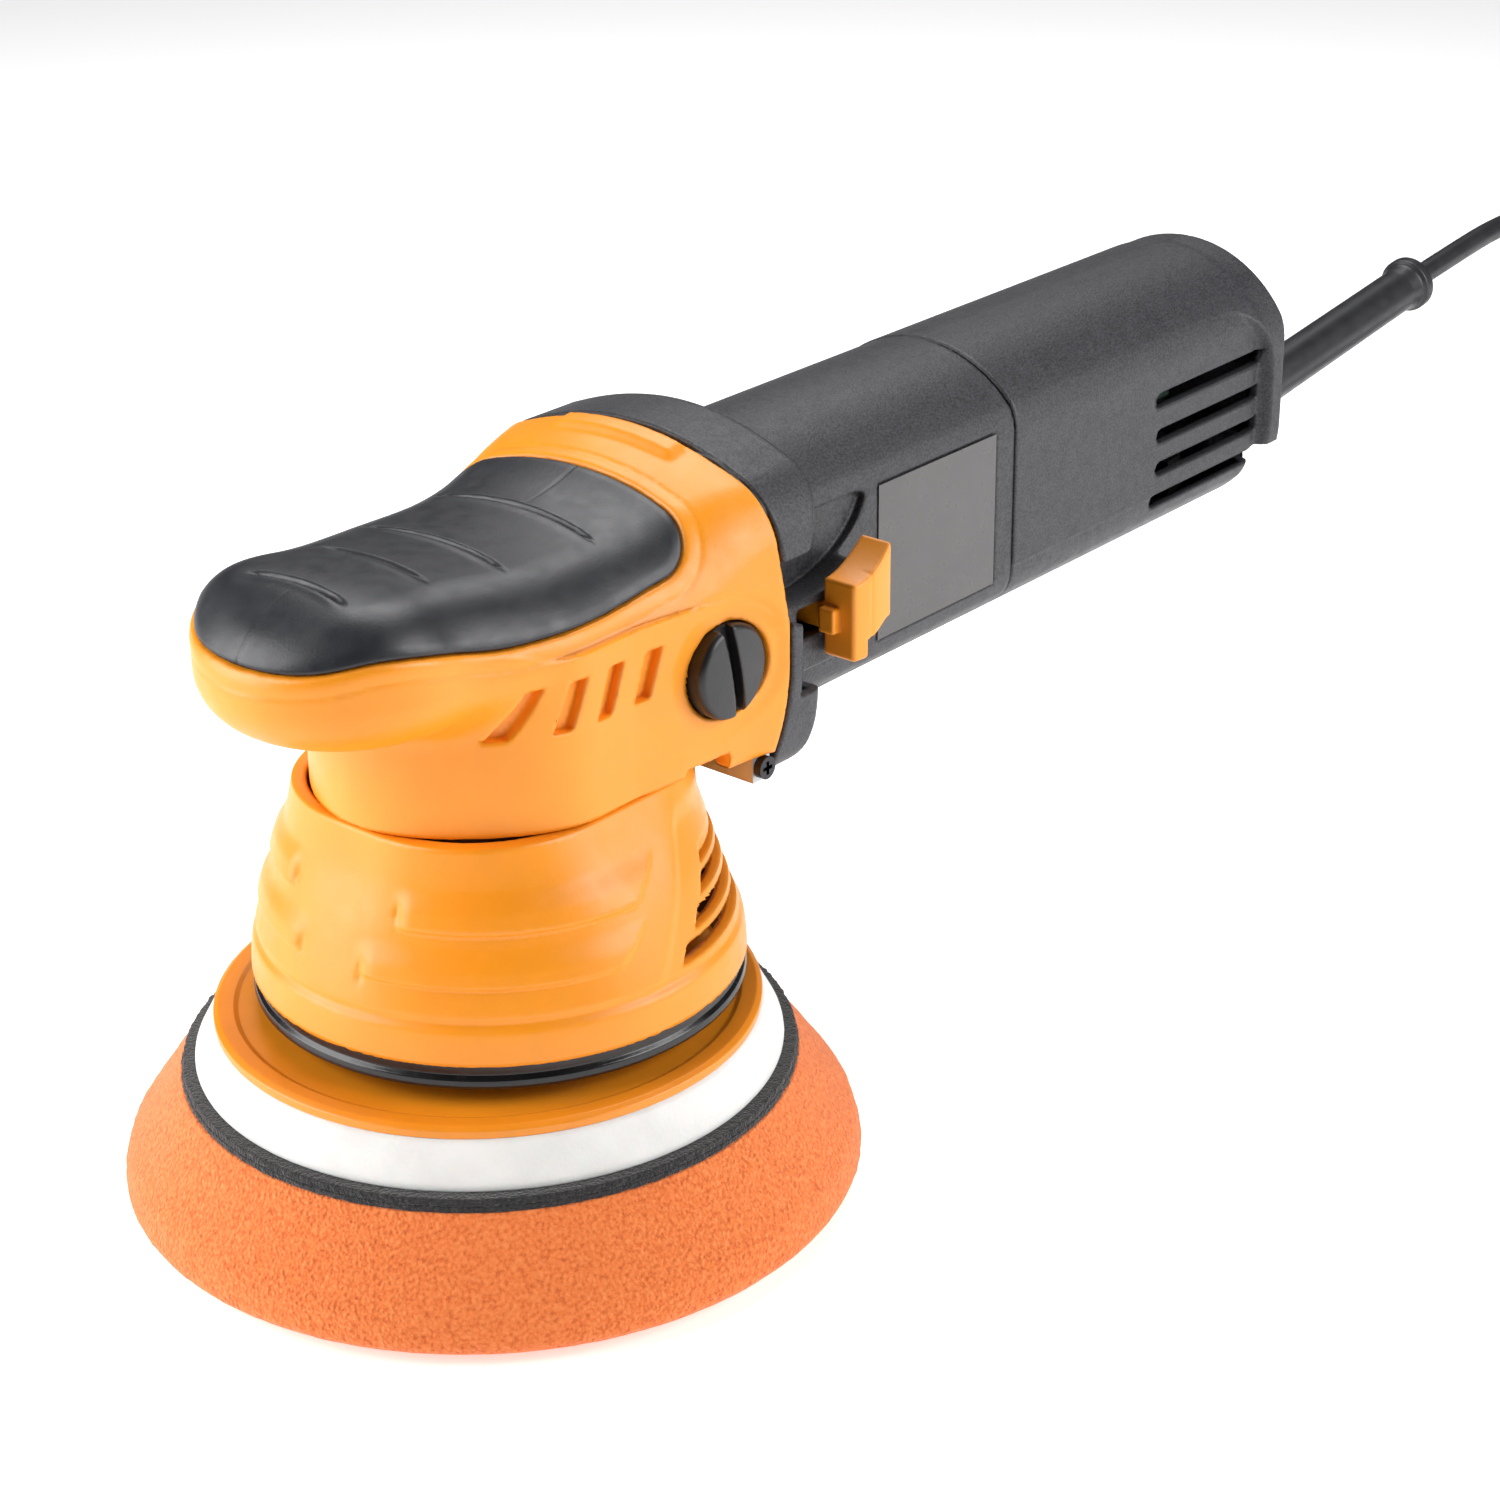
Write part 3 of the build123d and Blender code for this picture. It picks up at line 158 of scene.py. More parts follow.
def field_mesh(field, low, high, cell):
    """Points, quads and normals of a field's zero surface by dual contouring."""
    axes = [np.arange(a - 1.5 * cell, b + 2.5 * cell, cell) for a, b in zip(low, high)]
    value = field(*np.meshgrid(*axes, indexing="ij"))
    inside = value < 0
    shape = np.array(value.shape)
    stride = np.array((shape[1] * shape[2], shape[2], 1))
    cells, places, normals, around, flip = [], [], [], [], []
    for axis in range(3):
        first = [slice(1, n - 1) for n in shape]
        first[axis] = slice(0, shape[axis] - 1)
        second = list(first)
        second[axis] = slice(1, shape[axis])
        first, second = tuple(first), tuple(second)
        crossed = np.argwhere(inside[first] != inside[second])
        grid = crossed + [0 if a == axis else 1 for a in range(3)]
        flat = grid @ stride
        v0, v1 = value.ravel()[flat], value.ravel()[flat + stride[axis]]
        p = np.stack([axes[a][grid[:, a]] for a in range(3)], 1)
        p[:, axis] += cell * v0 / (v0 - v1)
        u, w = stride[(axis + 1) % 3], stride[(axis + 2) % 3]
        four = np.stack([flat - u - w, flat - w, flat, flat - u], 1)
        places.append(np.repeat(p, 4, 0))
        normals.append(np.repeat(unit(slope(field, p, 0.3 * cell)), 4, 0))
        cells.append(four.ravel())
        around.append(four)
        flip.append(v0 > 0)
    cells, places, normals = np.concatenate(cells), np.concatenate(places), np.concatenate(normals)
    used, index = np.unique(cells, return_inverse=True)
    index = index.ravel()

    def gather(weights):
        return np.bincount(index, weights, len(used))

    middle = np.stack([gather(places[:, a]) for a in range(3)], 1) / gather(np.ones(len(index)))[:, None]
    local = places - middle[index]
    reach = (normals * local).sum(1)
    pull = 0.04
    matrix = np.empty((len(used), 3, 3))
    for a in range(3):
        for b in range(3):
            matrix[:, a, b] = gather(normals[:, a] * normals[:, b]) + pull * (a == b)
    right = np.stack([gather(normals[:, a] * reach) for a in range(3)], 1)
    step = np.linalg.solve(matrix, right[:, :, None])[:, :, 0]
    points = middle + np.clip(step, -0.7 * cell, 0.7 * cell)
    quads = np.searchsorted(used, np.concatenate(around))
    turned = np.concatenate(flip)
    quads[turned] = quads[turned][:, ::-1]
    return points, quads, unit(slope(field, points, 0.45 * cell))


def make_piece(name, points, faces, material, body, normals=None, replaces=()):
    """A mesh piece from points in millimetres, riding on a body and standing for CAD nodes."""
    mesh = bpy.data.meshes.new(name)
    faces = np.asarray(faces)
    sides = faces.shape[1]
    mesh.vertices.add(len(points))
    mesh.vertices.foreach_set("co", (np.asarray(points) * MM).astype(np.float32).ravel())
    mesh.loops.add(faces.size)
    mesh.loops.foreach_set("vertex_index", faces.astype(np.int32).ravel())
    mesh.polygons.add(len(faces))
    mesh.polygons.foreach_set("loop_start", np.arange(0, faces.size, sides, dtype=np.int32))
    mesh.polygons.foreach_set("use_smooth", np.full(len(faces), True))
    mesh.update(calc_edges=True)
    if normals is not None:
        mesh.normals_split_custom_set_from_vertices(normals.tolist())
    return settle(bpy.data.objects.new(name, mesh), material, body, replaces)


def settle(piece, material, body, replaces=()):
    """Link a new object, give it its finish and its body, and hide the nodes it stands for."""
    bpy.context.scene.collection.objects.link(piece)
    piece.data.materials.append(material)
    if replaces:
        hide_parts(*replaces)
    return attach(piece, body)


def field_piece(name, field, low, high, cell, material, body, replaces=()):
    """A piece whose surface is where a field is zero."""
    points, quads, normals = field_mesh(field, low, high, cell)
    return make_piece(name, points, quads, material, body, normals, replaces)


def rounded_outline(corners, step=0.25):
    """A closed outline of (radius, height, corner radius) points, corners turned into arcs."""
    count = len(corners)
    outline = []
    for i in range(count):
        before, here, after = (np.array(corners[(i + k) % count][:2], float) for k in (-1, 0, 1))
        a, b = before - here, after - here
        la, lb = np.linalg.norm(a), np.linalg.norm(b)
        a, b = a / la, b / lb
        half = math.acos(np.clip(a @ b, -1, 1)) / 2
        cut = min(corners[i][2] / max(math.tan(half), 1e-6), 0.49 * la, 0.49 * lb)
        if cut < 1e-3:
            outline.append(here)
            continue
        turns = max(3, int(math.ceil((math.pi - 2 * half) / 0.2)))
        for t in np.linspace(0, 1, turns + 1):
            arc = (1 - t) ** 2 * (here + a * cut) + 2 * t * (1 - t) * here + t * t * (here + b * cut)
            outline.append(arc)
    even = []
    for p, q in zip(outline, outline[1:] + outline[:1]):
        parts = max(1, int(np.linalg.norm(q - p) / step))
        even += [p + (q - p) * k / parts for k in range(parts)]
    return np.array(even)


def lathe(outline, segments, axis_x=0.0):
    """Turn a closed outline about an upright axis; a point on the axis stays a small ring."""
    angle = np.linspace(0, 2 * math.pi, segments, endpoint=False)
    radius, height = np.maximum(outline[:, 0], 0.02), outline[:, 1]
    x = radius[None] * np.cos(angle)[:, None] + axis_x
    y = radius[None] * np.sin(angle)[:, None]
    z = np.broadcast_to(height, x.shape)
    points = np.stack([x, y, z], 2).reshape(-1, 3)
    n = len(outline)
    i, j = np.meshgrid(np.arange(segments), np.arange(n), indexing="ij")
    i2, j2 = (i + 1) % segments, (j + 1) % n
    quads = np.stack([i * n + j, i2 * n + j, i2 * n + j2, i * n + j2], 2).reshape(-1, 4)
    return points, quads


def seeded_noise(p, scale, seed, octaves=3):
    """Smooth noise about -1 to 1 at points, from a seeded table, for surface relief."""
    table = np.random.default_rng(seed).uniform(-1, 1, 8192)
    total = np.zeros(len(p))
    for octave in range(octaves):
        q = p / scale * 2 ** octave + 31.7 * octave
        cell = np.floor(q).astype(np.int64)
        t = q - cell
        t = t * t * (3 - 2 * t)
        for corner in range(8):
            o = np.array([(corner >> k) & 1 for k in range(3)])
            c = cell + o
            key = (c[:, 0] * 73856093 ^ c[:, 1] * 19349663 ^ c[:, 2] * 83492791) & 8191
            total += table[key] * np.prod(np.where(o, t, 1 - t), 1) / 2 ** octave
    return total


# ================================================================ materials
def material(name, colour, roughness, **shader):
    """A principled material whose fixed values sit on the shader's own sockets."""
    made = bpy.data.materials.new(name)
    made.use_nodes = True
    principled = made.node_tree.nodes["Principled BSDF"]
    principled.inputs["Base Color"].default_value = (*colour, 1)
    principled.inputs["Roughness"].default_value = roughness
    for socket, amount in shader.items():
        principled.inputs[socket.replace("_", " ")].default_value = amount
    return made


def noise_on(made, scale, detail=2.0, seed=0.0, kind="noise"):
    """A noise or cell texture on the piece's own coordinates; scale is in metres."""
    nodes, links = made.node_tree.nodes, made.node_tree.links
    place = nodes.new("ShaderNodeTexCoord")
    shift = nodes.new("ShaderNodeMapping")
    shift.inputs["Location"].default_value = (seed, seed * 0.7, seed * 1.3)
    links.new(place.outputs["Object"], shift.inputs["Vector"])
    if kind == "cells":
        texture = nodes.new("ShaderNodeTexVoronoi")
        texture.inputs["Scale"].default_value = 1 / scale
        links.new(shift.outputs["Vector"], texture.inputs["Vector"])
        return texture.outputs["Distance"]
    texture = nodes.new("ShaderNodeTexNoise")
    texture.inputs["Scale"].default_value = 1 / scale
    texture.inputs["Detail"].default_value = detail
    links.new(shift.outputs["Vector"], texture.inputs["Vector"])
    return texture.outputs["Fac"]


def vary_colour(made, source, stops):
    """Colour from a texture through a ramp of (position, colour) stops."""
    nodes, links = made.node_tree.nodes, made.node_tree.links
    scale = nodes.new("ShaderNodeValToRGB")
    while len(scale.color_ramp.elements) < len(stops):
        scale.color_ramp.elements.new(0.5)
    for element, (position, colour) in zip(scale.color_ramp.elements, stops):
        element.position = position
        element.color = (*colour, 1)
    links.new(source, scale.inputs["Fac"])
    links.new(scale.outputs["Color"], nodes["Principled BSDF"].inputs["Base Color"])


def vary_roughness(made, source, low, high):
    nodes, links = made.node_tree.nodes, made.node_tree.links
    spread = nodes.new("ShaderNodeMapRange")
    spread.inputs["From Min"].default_value = 0.3
    spread.inputs["From Max"].default_value = 0.7
    spread.inputs["To Min"].default_value = low
    spread.inputs["To Max"].default_value = high
    links.new(source, spread.inputs["Value"])
    links.new(spread.outputs["Result"], nodes["Principled BSDF"].inputs["Roughness"])


def relief(made, source, depth):
    """Fine relief of a depth in metres; further reliefs stack on the first."""
    nodes, links = made.node_tree.nodes, made.node_tree.links
    target = nodes["Principled BSDF"].inputs["Normal"]
    lift = nodes.new("ShaderNodeBump")
    lift.inputs["Distance"].default_value = depth
    lift.inputs["Strength"].default_value = 1.0
    if target.is_linked:
        links.new(target.links[0].from_socket, lift.inputs["Normal"])
    links.new(source, lift.inputs["Height"])
    links.new(lift.outputs["Normal"], target)


def shade(colour, factor):
    return tuple(min(1.0, c * factor) for c in colour)


def moulded(name, colour, roughness, grain, depth, spread=0.06, **shader):
    """Spark-textured moulded plastic: fine grain, faint mottling, uneven gloss."""
    made = material(name, colour, roughness, **shader)
    mottle = noise_on(made, 0.012, 3, 0.3)
    vary_colour(made, mottle, [(0.3, shade(colour, 1 - spread)), (0.7, shade(colour, 1 + spread))])
    vary_roughness(made, noise_on(made, 0.004, 4, 0.9), roughness - 0.05, roughness + 0.06)
    relief(made, noise_on(made, grain, 3, 0.1), depth)
    return made


ORANGE = (0.90, 0.30, 0.012)
cover_orange = moulded("cover_orange", ORANGE, 0.38, 0.0006, 0.00003, 0.03)
plate_orange = moulded("plate_orange", (0.84, 0.27, 0.012), 0.33, 0.0008, 0.00002, 0.04)
body_black = material("body_black", (0.030, 0.030, 0.034), 0.5)
speckle = noise_on(body_black, 0.00055, 2, 0.2)
vary_colour(body_black, speckle, [(0.36, (0.016, 0.016, 0.019)), (0.62, (0.046, 0.046, 0.053))])
vary_roughness(body_black, noise_on(body_black, 0.003, 3, 0.5), 0.44, 0.56)
relief(body_black, noise_on(body_black, 0.0006, 3, 0.7), 0.00009)
grip_black = moulded("grip_black", (0.019, 0.020, 0.024), 0.4, 0.0005, 0.00003, 0.08)
ring_black = moulded("ring_black", (0.007, 0.007, 0.008), 0.22, 0.0012, 0.00002, 0.1)
cap_black = moulded("cap_black", (0.011, 0.011, 0.012), 0.34, 0.0008, 0.00004, 0.1)
cord_black = moulded("cord_black", (0.016, 0.016, 0.019), 0.4, 0.0009, 0.00003, 0.1)
inner_black = moulded("inner_black", (0.012, 0.012, 0.013), 0.5, 0.0008, 0.00004, 0.1)
steel = moulded("steel", (0.56, 0.57, 0.58), 0.28, 0.0008, 0.00001, 0.05, Metallic=1.0)
screw_black = moulded("screw_black", (0.05, 0.05, 0.055), 0.35, 0.0006, 0.00001, 0.1, Metallic=1.0)
casting = moulded("casting", (0.50, 0.51, 0.52), 0.46, 0.0009, 0.00008, 0.06, Metallic=0.9)
copper = moulded("copper", (0.72, 0.30, 0.14), 0.3, 0.0006, 0.00002, 0.1, Metallic=1.0)
bronze = moulded("bronze", (0.60, 0.42, 0.20), 0.38, 0.0006, 0.00002, 0.08, Metallic=1.0)
carbon = moulded("carbon", (0.02, 0.02, 0.02), 0.6, 0.0005, 0.00004, 0.1)
board_green = moulded("board_green", (0.006, 0.035, 0.016), 0.35, 0.0015, 0.00001, 0.15)
pin_metal = moulded("pin_metal", (0.66, 0.60, 0.46), 0.25, 0.0008, 0.00001, 0.04, Metallic=1.0)

plate_dark = moulded("plate_dark", (0.050, 0.046, 0.045), 0.3, 0.0012, 0.00001, 0.08, Coat_Weight=0.4,
                     Coat_Roughness=0.12)

FOAM = (0.84, 0.19, 0.036)
foam_orange = material("foam_orange", FOAM, 0.92, Sheen_Weight=0.2, Sheen_Roughness=0.5)
pores = noise_on(foam_orange, 0.0009, 4, 0.4)
vary_colour(foam_orange, pores, [
    (0.30, (0.66, 0.12, 0.022)), (0.46, FOAM), (0.70, (0.92, 0.27, 0.07))])
relief(foam_orange, noise_on(foam_orange, 0.0008, 3, 0.8, "cells"), 0.0003)
relief(foam_orange, pores, 0.0003)

foam_white = material("foam_white", (0.84, 0.83, 0.81), 0.75, Subsurface_Weight=0.2,
                      Subsurface_Scale=0.002)
vary_colour(foam_white, noise_on(foam_white, 0.01, 3, 0.2),
            [(0.3, (0.78, 0.77, 0.75)), (0.7, (0.86, 0.85, 0.83))])
relief(foam_white, noise_on(foam_white, 0.0008, 3, 0.6), 0.00012)

fleece_black = material("fleece_black", (0.010, 0.010, 0.011), 0.95, Sheen_Weight=0.3, Sheen_Roughness=0.5)
vary_colour(fleece_black, noise_on(fleece_black, 0.0007, 4, 0.2), [
    (0.3, (0.004, 0.004, 0.004)), (0.7, (0.03, 0.03, 0.032))])
relief(fleece_black, noise_on(fleece_black, 0.0006, 4, 0.6), 0.0006)

studio_floor = material("studio_floor", (0.93, 0.93, 0.93), 0.7,
                        Emission_Color=(1, 1, 1, 1), Emission_Strength=0.5)
relief(studio_floor, noise_on(studio_floor, 0.05, 2, 0.1), 0.00005)

BACKDROP_SIDE = (0.765, 0.644, 0.0)      # the white backdrop stands on this side of the tool
BACKDROP_LIGHT, ROOM_LIGHT = 1.0, 0.3
world = bpy.data.worlds.new("studio")
world.use_nodes = True
world_nodes, world_links = world.node_tree.nodes, world.node_tree.links
direction = world_nodes.new("ShaderNodeTexCoord")
facing = world_nodes.new("ShaderNodeVectorMath")
facing.operation = "DOT_PRODUCT"
facing.inputs[1].default_value = BACKDROP_SIDE
spread = world_nodes.new("ShaderNodeMapRange")
for socket, amount in (("From Min", -0.7), ("From Max", 0.35),
                       ("To Min", ROOM_LIGHT), ("To Max", BACKDROP_LIGHT)):
    spread.inputs[socket].default_value = amount
world_links.new(direction.outputs["Generated"], facing.inputs[0])
world_links.new(facing.outputs["Value"], spread.inputs["Value"])
world_links.new(spread.outputs["Result"], world_nodes["Background"].inputs["Strength"])
bpy.context.scene.world = world

FLOOR_HALF, FLOOR_Z = 6.0, -0.0002       # just under the pad, in metres
floor_mesh = bpy.data.meshes.new("studio_floor")
floor_corners = ((-1, -1), (1, -1), (1, 1), (-1, 1))
floor_mesh.from_pydata([(sx * FLOOR_HALF, sy * FLOOR_HALF, FLOOR_Z) for sx, sy in floor_corners],
                       [], [(0, 1, 2, 3)])
floor_mesh.materials.append(studio_floor)
floor = bpy.data.objects.new("studio_floor", floor_mesh)
bpy.context.scene.collection.objects.link(floor)


# ================================================================ the lead
CORD_R = 3.1
CORD_ROUTE = [
    (377, 0, 106.8), (402, 0, 109.6), (428, 0, 111.9), (453, -1, 111), (477, -4, 103),
    (497, -9, 88), (513, -16, 68), (525, -24, 46), (535, -35, 25), (542, -50, 9.5), (544, -68, 3.1),
]
TAIL_ROUTE = [
    (500, -104.2, 21.7), (481, -104.8, 21), (464, -105.5, 17), (447, -106.2, 11.5), (431, -106, 9.5),
]
COIL_CENTRE = (502.0, -62.0)
COIL_ROWS, COIL_COLUMNS = 4, 3
COIL_OUTER_R, COIL_PITCH = 42.2, 6.2
COIL_START, COIL_END = 8.0, 90.0 + 11 * 360      # degrees turned clockwise from +X
SHIFT = 40.0                                     # a step in or up takes this many degrees


def coil_points(step=15.0):
    """The coil's turns: in, up, out, up and so on, each step a little before the last one."""
    moves = []
    late = 0.0
    for turn in range(1, COIL_ROWS * COIL_COLUMNS):
        up = turn % COIL_COLUMNS == 0
        after_up = turn > 1 and (turn - 1) % COIL_COLUMNS == 0
        late += SHIFT * (up or after_up)
        inward = (turn // COIL_COLUMNS) % 2 == 0
        moves.append((COIL_START + 360.0 * turn - late, 0.0 if up else (-1.0 if inward else 1.0), 1.0 * up))
    points = []
    for angle in np.arange(COIL_START + step, COIL_END - step / 2, step):
        done = [ramp(angle, end - SHIFT, end) for end, _, _ in moves]
        radius = COIL_OUTER_R + COIL_PITCH * sum(d * m[1] for d, m in zip(done, moves))
        height = CORD_R + COIL_PITCH * sum(d * m[2] for d, m in zip(done, moves))
        turn = -math.radians(angle)
        points.append((COIL_CENTRE[0] + radius * math.cos(turn),
                       COIL_CENTRE[1] + radius * math.sin(turn), height))
    return points


def cord_curve(name, points, radius):
    """A round cord along one open spline."""
    data = bpy.data.curves.new(name, "CURVE")
    data.dimensions = "3D"
    data.bevel_depth = radius * MM
    data.bevel_resolution = 6
    data.use_fill_caps = True
    data.resolution_u = 6
    spline = data.splines.new("NURBS")
    spline.points.add(len(points) - 1)
    for place, point in zip(spline.points, points):
        place.co = (*(v * MM for v in point), 1)
    spline.order_u = 3
    spline.use_endpoint_u = True
    return bpy.data.objects.new(name, data)


power_cord = settle(cord_curve("cord", CORD_ROUTE + coil_points() + TAIL_ROUTE, CORD_R), cord_black,
                    "housing", ("power_cord", "cord_coil", "cord_tail"))

# ================================================================ head and grip
MOTOR_Z = 113.2
HEAD_REAR = 44.0
COVER_WALL = 3.6
NECK_Z = 92.8
NOSE_X, NOSE_R, GRIP_HALF = -38.0, 29.5, 35.5

head_top = curve_through(
    (-76, 126), (-72, 131), (-66, 137.6), (-59.3, 142.1), (-52, 145.5), (-45, 146.4), (-36, 145.8),
    (-27, 145.1), (-10, 144), (5, 144), (17.3, 145.3), (26.5, 148), (35, 151.3), (44, 153.7))
head_crown = curve_through((-72, 3), (-45, 4.5), (-10, 6), (20, 8), (44, 10.5))
head_edge = curve_through((-72, 6), (-55, 9), (-30, 15), (0, 17), (22, 14), (36, 9), (44, 7))


def head_sides(x, y, z):
    """The sides: parallel along the grip, spreading towards the motor."""
    half = (NOSE_R + (GRIP_HALF - NOSE_R) * ramp(x, NOSE_X, -6) + 0.4 * ramp(x, -36, 4)
            + 7.4 * (np.maximum(x - 4, 0) / 40) ** 1.3)
    spread = ramp(x, 8, 42)
    lean = 0.2 * np.maximum(z - 120, 0) + 0.0085 * np.maximum(112 - z, 0) ** 2
    return np.abs(y) - half + spread * lean


def head_form(x, y, z):
    """The head above and the D-shaped neck below, without the openings."""
    sides = head_sides(x, y, z)
    plan = np.where(x < NOSE_X, np.hypot(x - NOSE_X, y) - NOSE_R, sides)
    top = z - head_top(x) + head_crown(x) * (y / 40) ** 2
    upper = round_meet(round_meet(plan, top, head_edge(x)), 117.5 - z, 11.5)
    neck = np.maximum(round_meet(-39.6 - x, sides, 30), z - 129)
    return smooth_union(upper, neck, 0.3 + 6.5 * (1 - ramp(x, -34, -12)))


grip_line = curve_through(
    (-76, 134.8), (-70, 134.9), (-65.5, 135.4), (-60, 136.5), (-54.5, 137.8), (-49, 137.9),
    (-38, 135.9), (-26.3, 133.3), (-17, 132.7), (-7, 132.5), (4.8, 132.9), (13.4, 134.2), (21, 135.4),
    (32, 137))
GRIP_PROUD, GRIP_THICK = 0.45, 2.0
# x, half width and depth of each groove
GROOVES = [(-48.6, 14.0, 1.5), (-29.3, 16.5, 0.6), (-12.2, 20.1, 1.4), (10.8, 23.2, 1.4)]


def grip_area(x, y, z):
    """Negative over the grip pad's footprint on the head."""
    rear = x - 28.8 + 0.9 * (y / 27) ** 2
    return round_meet(0.85 * (grip_line(x) - z), rear, 10)


def grip_grooves(x, y):
    depth = 0.0
    for place, half, deep in GROOVES:
        along = place - 1.2 + 1.9 * (1 - (y / half) ** 2)
        taper = 1 - ramp(np.abs(y), 0.55 * half, 1.02 * half)
        ahead = x - along
        depth = depth + deep * taper * (bump(ahead, 0, 0.55) - 0.16 * bump(ahead, -1.6, 1.0))
    return depth


def grip_pad(x, y, z):
    outer = head_form(x, y, z) - GRIP_PROUD
    area = grip_area(x, y, z) + 0.12
    seam = bump(y, 0, 0.35) * (bump(x, 27, 9) + bump(x, -70, 12))
    outer = outer + np.where(z > 128, grip_grooves(x, y), 0) + 0.22 * seam
    outer = outer + 0.35 * ramp(area, -2.2, 0)
    return np.maximum(round_meet(outer, area, 0.9), -(outer + GRIP_THICK + GRIP_PROUD))


VENTS = [(-19.4, 4.7, 4.2), (-10.3, 3.9, 4.4), (-0.1, 3.9, 4.4), (10.2, 3.5, 4.4)]    # top x, lean, width
VENT_Z, VENT_HALF = 118.5, 5.1
PORT_X, PORT_Z, PORT_R = 28.9, 113.5, 10.5


def vents(x, z):
    """Leaning slots in the side of the head, in side view."""
    shape = np.full(np.shape(x), 99.0)
    rise = (z - VENT_Z) / (2 * VENT_HALF) + 0.5
    for index, (top, lean, width) in enumerate(VENTS):
        bow = 1.4 * (1 - rise) ** 2 if index == 0 else 0.0
        middle = top - lean * (1 - rise) - bow
        cosine = 1 / math.hypot(1, lean / (2 * VENT_HALF))
        slot = (np.abs(x - middle) - width / 2) * cosine
        shape = np.minimum(shape, round_meet(slot, np.abs(z - VENT_Z) - VENT_HALF, 0.5))
    return shape


def head_cover(x, y, z):
    form = head_form(x, y, z)
    area = grip_area(x, y, z)
    lip = 0.3 * bump(area, 0.9, 1.3) - 0.2 * bump(area, 3.1, 0.5)
    rib = ramp(x, 37.2, 39.6) * (1 - ramp(x, 42.2, 44)) * (1 - ramp(np.abs(y), 14.5, 17.8))
    crest = 1.3 * rib * ramp(z, 140, 146)
    arc = np.hypot(x - 26, z - 108) - 21
    crease = 0.35 * bump(arc, 0, 0.7) * ramp(z, 118, 126) * ramp(x, 20, 30) * (1 - ramp(x, 40, 43))
    port = np.hypot(x - PORT_X, z - PORT_Z)
    dish = 0.5 * (1 - ramp(port, 12.0, 15.5))
    side = ramp(np.abs(y), 26, 31)
    outer = form - lip - crest + side * (crease + dish)
    shell = np.maximum(outer, -(form + COVER_WALL))
    floor = NECK_Z + 1.5 * ramp(x, 17.6, 18.4) - 4.3 * ramp(x, 30.2, 31.0)
    shell = round_meet(shell, floor - z, 0.25)
    shell = round_meet(shell, x - HEAD_REAR, 0.5)
    recess = np.maximum(area - 0.15, -(form + GRIP_THICK))
    shell = np.maximum(shell, -recess)
    slots = np.maximum(vents(x, z), -(form + 2.3))
    shell = np.maximum(shell, -np.maximum(slots, 24 - np.abs(y)))
    return np.maximum(shell, -np.maximum(port - PORT_R, 20 - np.abs(y)))


field_piece(
    "head_shell", head_cover, (-73, -45, 89), (45, 45, 156), 0.68, cover_orange,
    "housing", ("head_cover",))
field_piece("soft_grip", grip_pad, (-74, -37, 127), (33, 37, 150), 0.46, grip_black, "housing",
            ("grip_pad",))

# ================================================================ skirt
SKIRT_BOTTOM, SKIRT_WALL = 50.0, 2.5
skirt_front = curve_through(
    (50, 52), (56.5, 51.3), (63, 49.4), (69, 47.3), (76, 44.6), (83, 41.8), (92.8, 39.5))
skirt_side = curve_through(
    (50, 52), (56.5, 51.3), (63, 49.4), (69, 47.2), (76, 44.2), (83, 40.4), (92.8, 35.9))
skirt_corner = curve_through((50, 51.9), (56.5, 50.9), (63, 48.6), (69, 46), (76, 41.5), (83, 36), (92.8, 30))
SLOTS = [(62.3, -86), (67.2, -78), (72.2, -71), (77.0, -66)]     # height, near end in degrees
SLOT_END = -14


def skirt_form(x, y, z):
    a, b, r = skirt_front(z), skirt_side(z), skirt_corner(z)
    return 0.95 * round_meet(np.abs(x) - a, np.abs(y) - b, r)


def band(turn, z, low, high, start, end, lean):
    """A soft-edged panel on the skirt between two heights and two directions."""
    end = end + lean * (z - low)
    return (ramp(z, low - 0.6, low + 0.7) * (1 - ramp(z, high - 3.5, high + 1.5))
            * ramp(turn, start - 4, start + 3) * (1 - ramp(turn, end - 1.3, end + 1.3)))


def skirt(x, y, z):
    form = skirt_form(x, y, z)
    turn = np.degrees(np.arctan2(-np.abs(y), x))
    panels = 1.0 * band(turn, z, 76, 83, -160, -97, 1.6) + 1.0 * band(turn, z, 65.8, 72, -169, -106, 1.5)
    well = (0.6 * ramp(turn, -99 + 0.9 * (z - 58), -94 + 0.9 * (z - 58))
            * ramp(z, 57, 61) * (1 - ramp(z, 84, 89)))
    groove = 0.7 * bump(z, 58.6, 0.9) * (1 - 0.5 * ramp(turn, -95, -80))
    dimples = (0.5 * bump(turn, -161.5, 1.0) * bump(z, 78.5, 2.0)
               + 0.5 * bump(turn, -170, 1.0) * bump(z, 66.5, 2.0))
    outer = form - panels + well + groove + dimples
    shell = np.maximum(outer, -(form + SKIRT_WALL + 0.6))
    shell = round_meet(round_meet(shell, SKIRT_BOTTOM - z, 0.5), z - (NECK_Z - 0.35), 0.4)
    cuts = np.full(np.shape(x), 99.0)
    arc = np.radians(turn) * 48.0
    for height, near in SLOTS:
        start = math.radians(near) * 48.0 + 0.9 * (z - height)
        ends = np.maximum(start - arc, arc - math.radians(SLOT_END) * 48.0)
        cuts = np.minimum(cuts, round_meet(np.abs(z - height) - 1.75, ends, 0.5))
    shell = np.maximum(shell, -np.maximum(cuts, 25 - np.hypot(x, y)))
    web = np.maximum(np.maximum(76.6 - z, z - 79), 24 - np.hypot(x, y))
    shell = np.minimum(shell, np.maximum(web, form + 1))
    return np.maximum(shell, -np.maximum(38.3 - x, 83.7 - z))


field_piece("skirt_shell", skirt, (-53, -53, 49), (53, 53, 94), 0.66, cover_orange, "housing",
            ("lower_skirt",))


# ================================================================ pad stack
ORBIT = 4.0


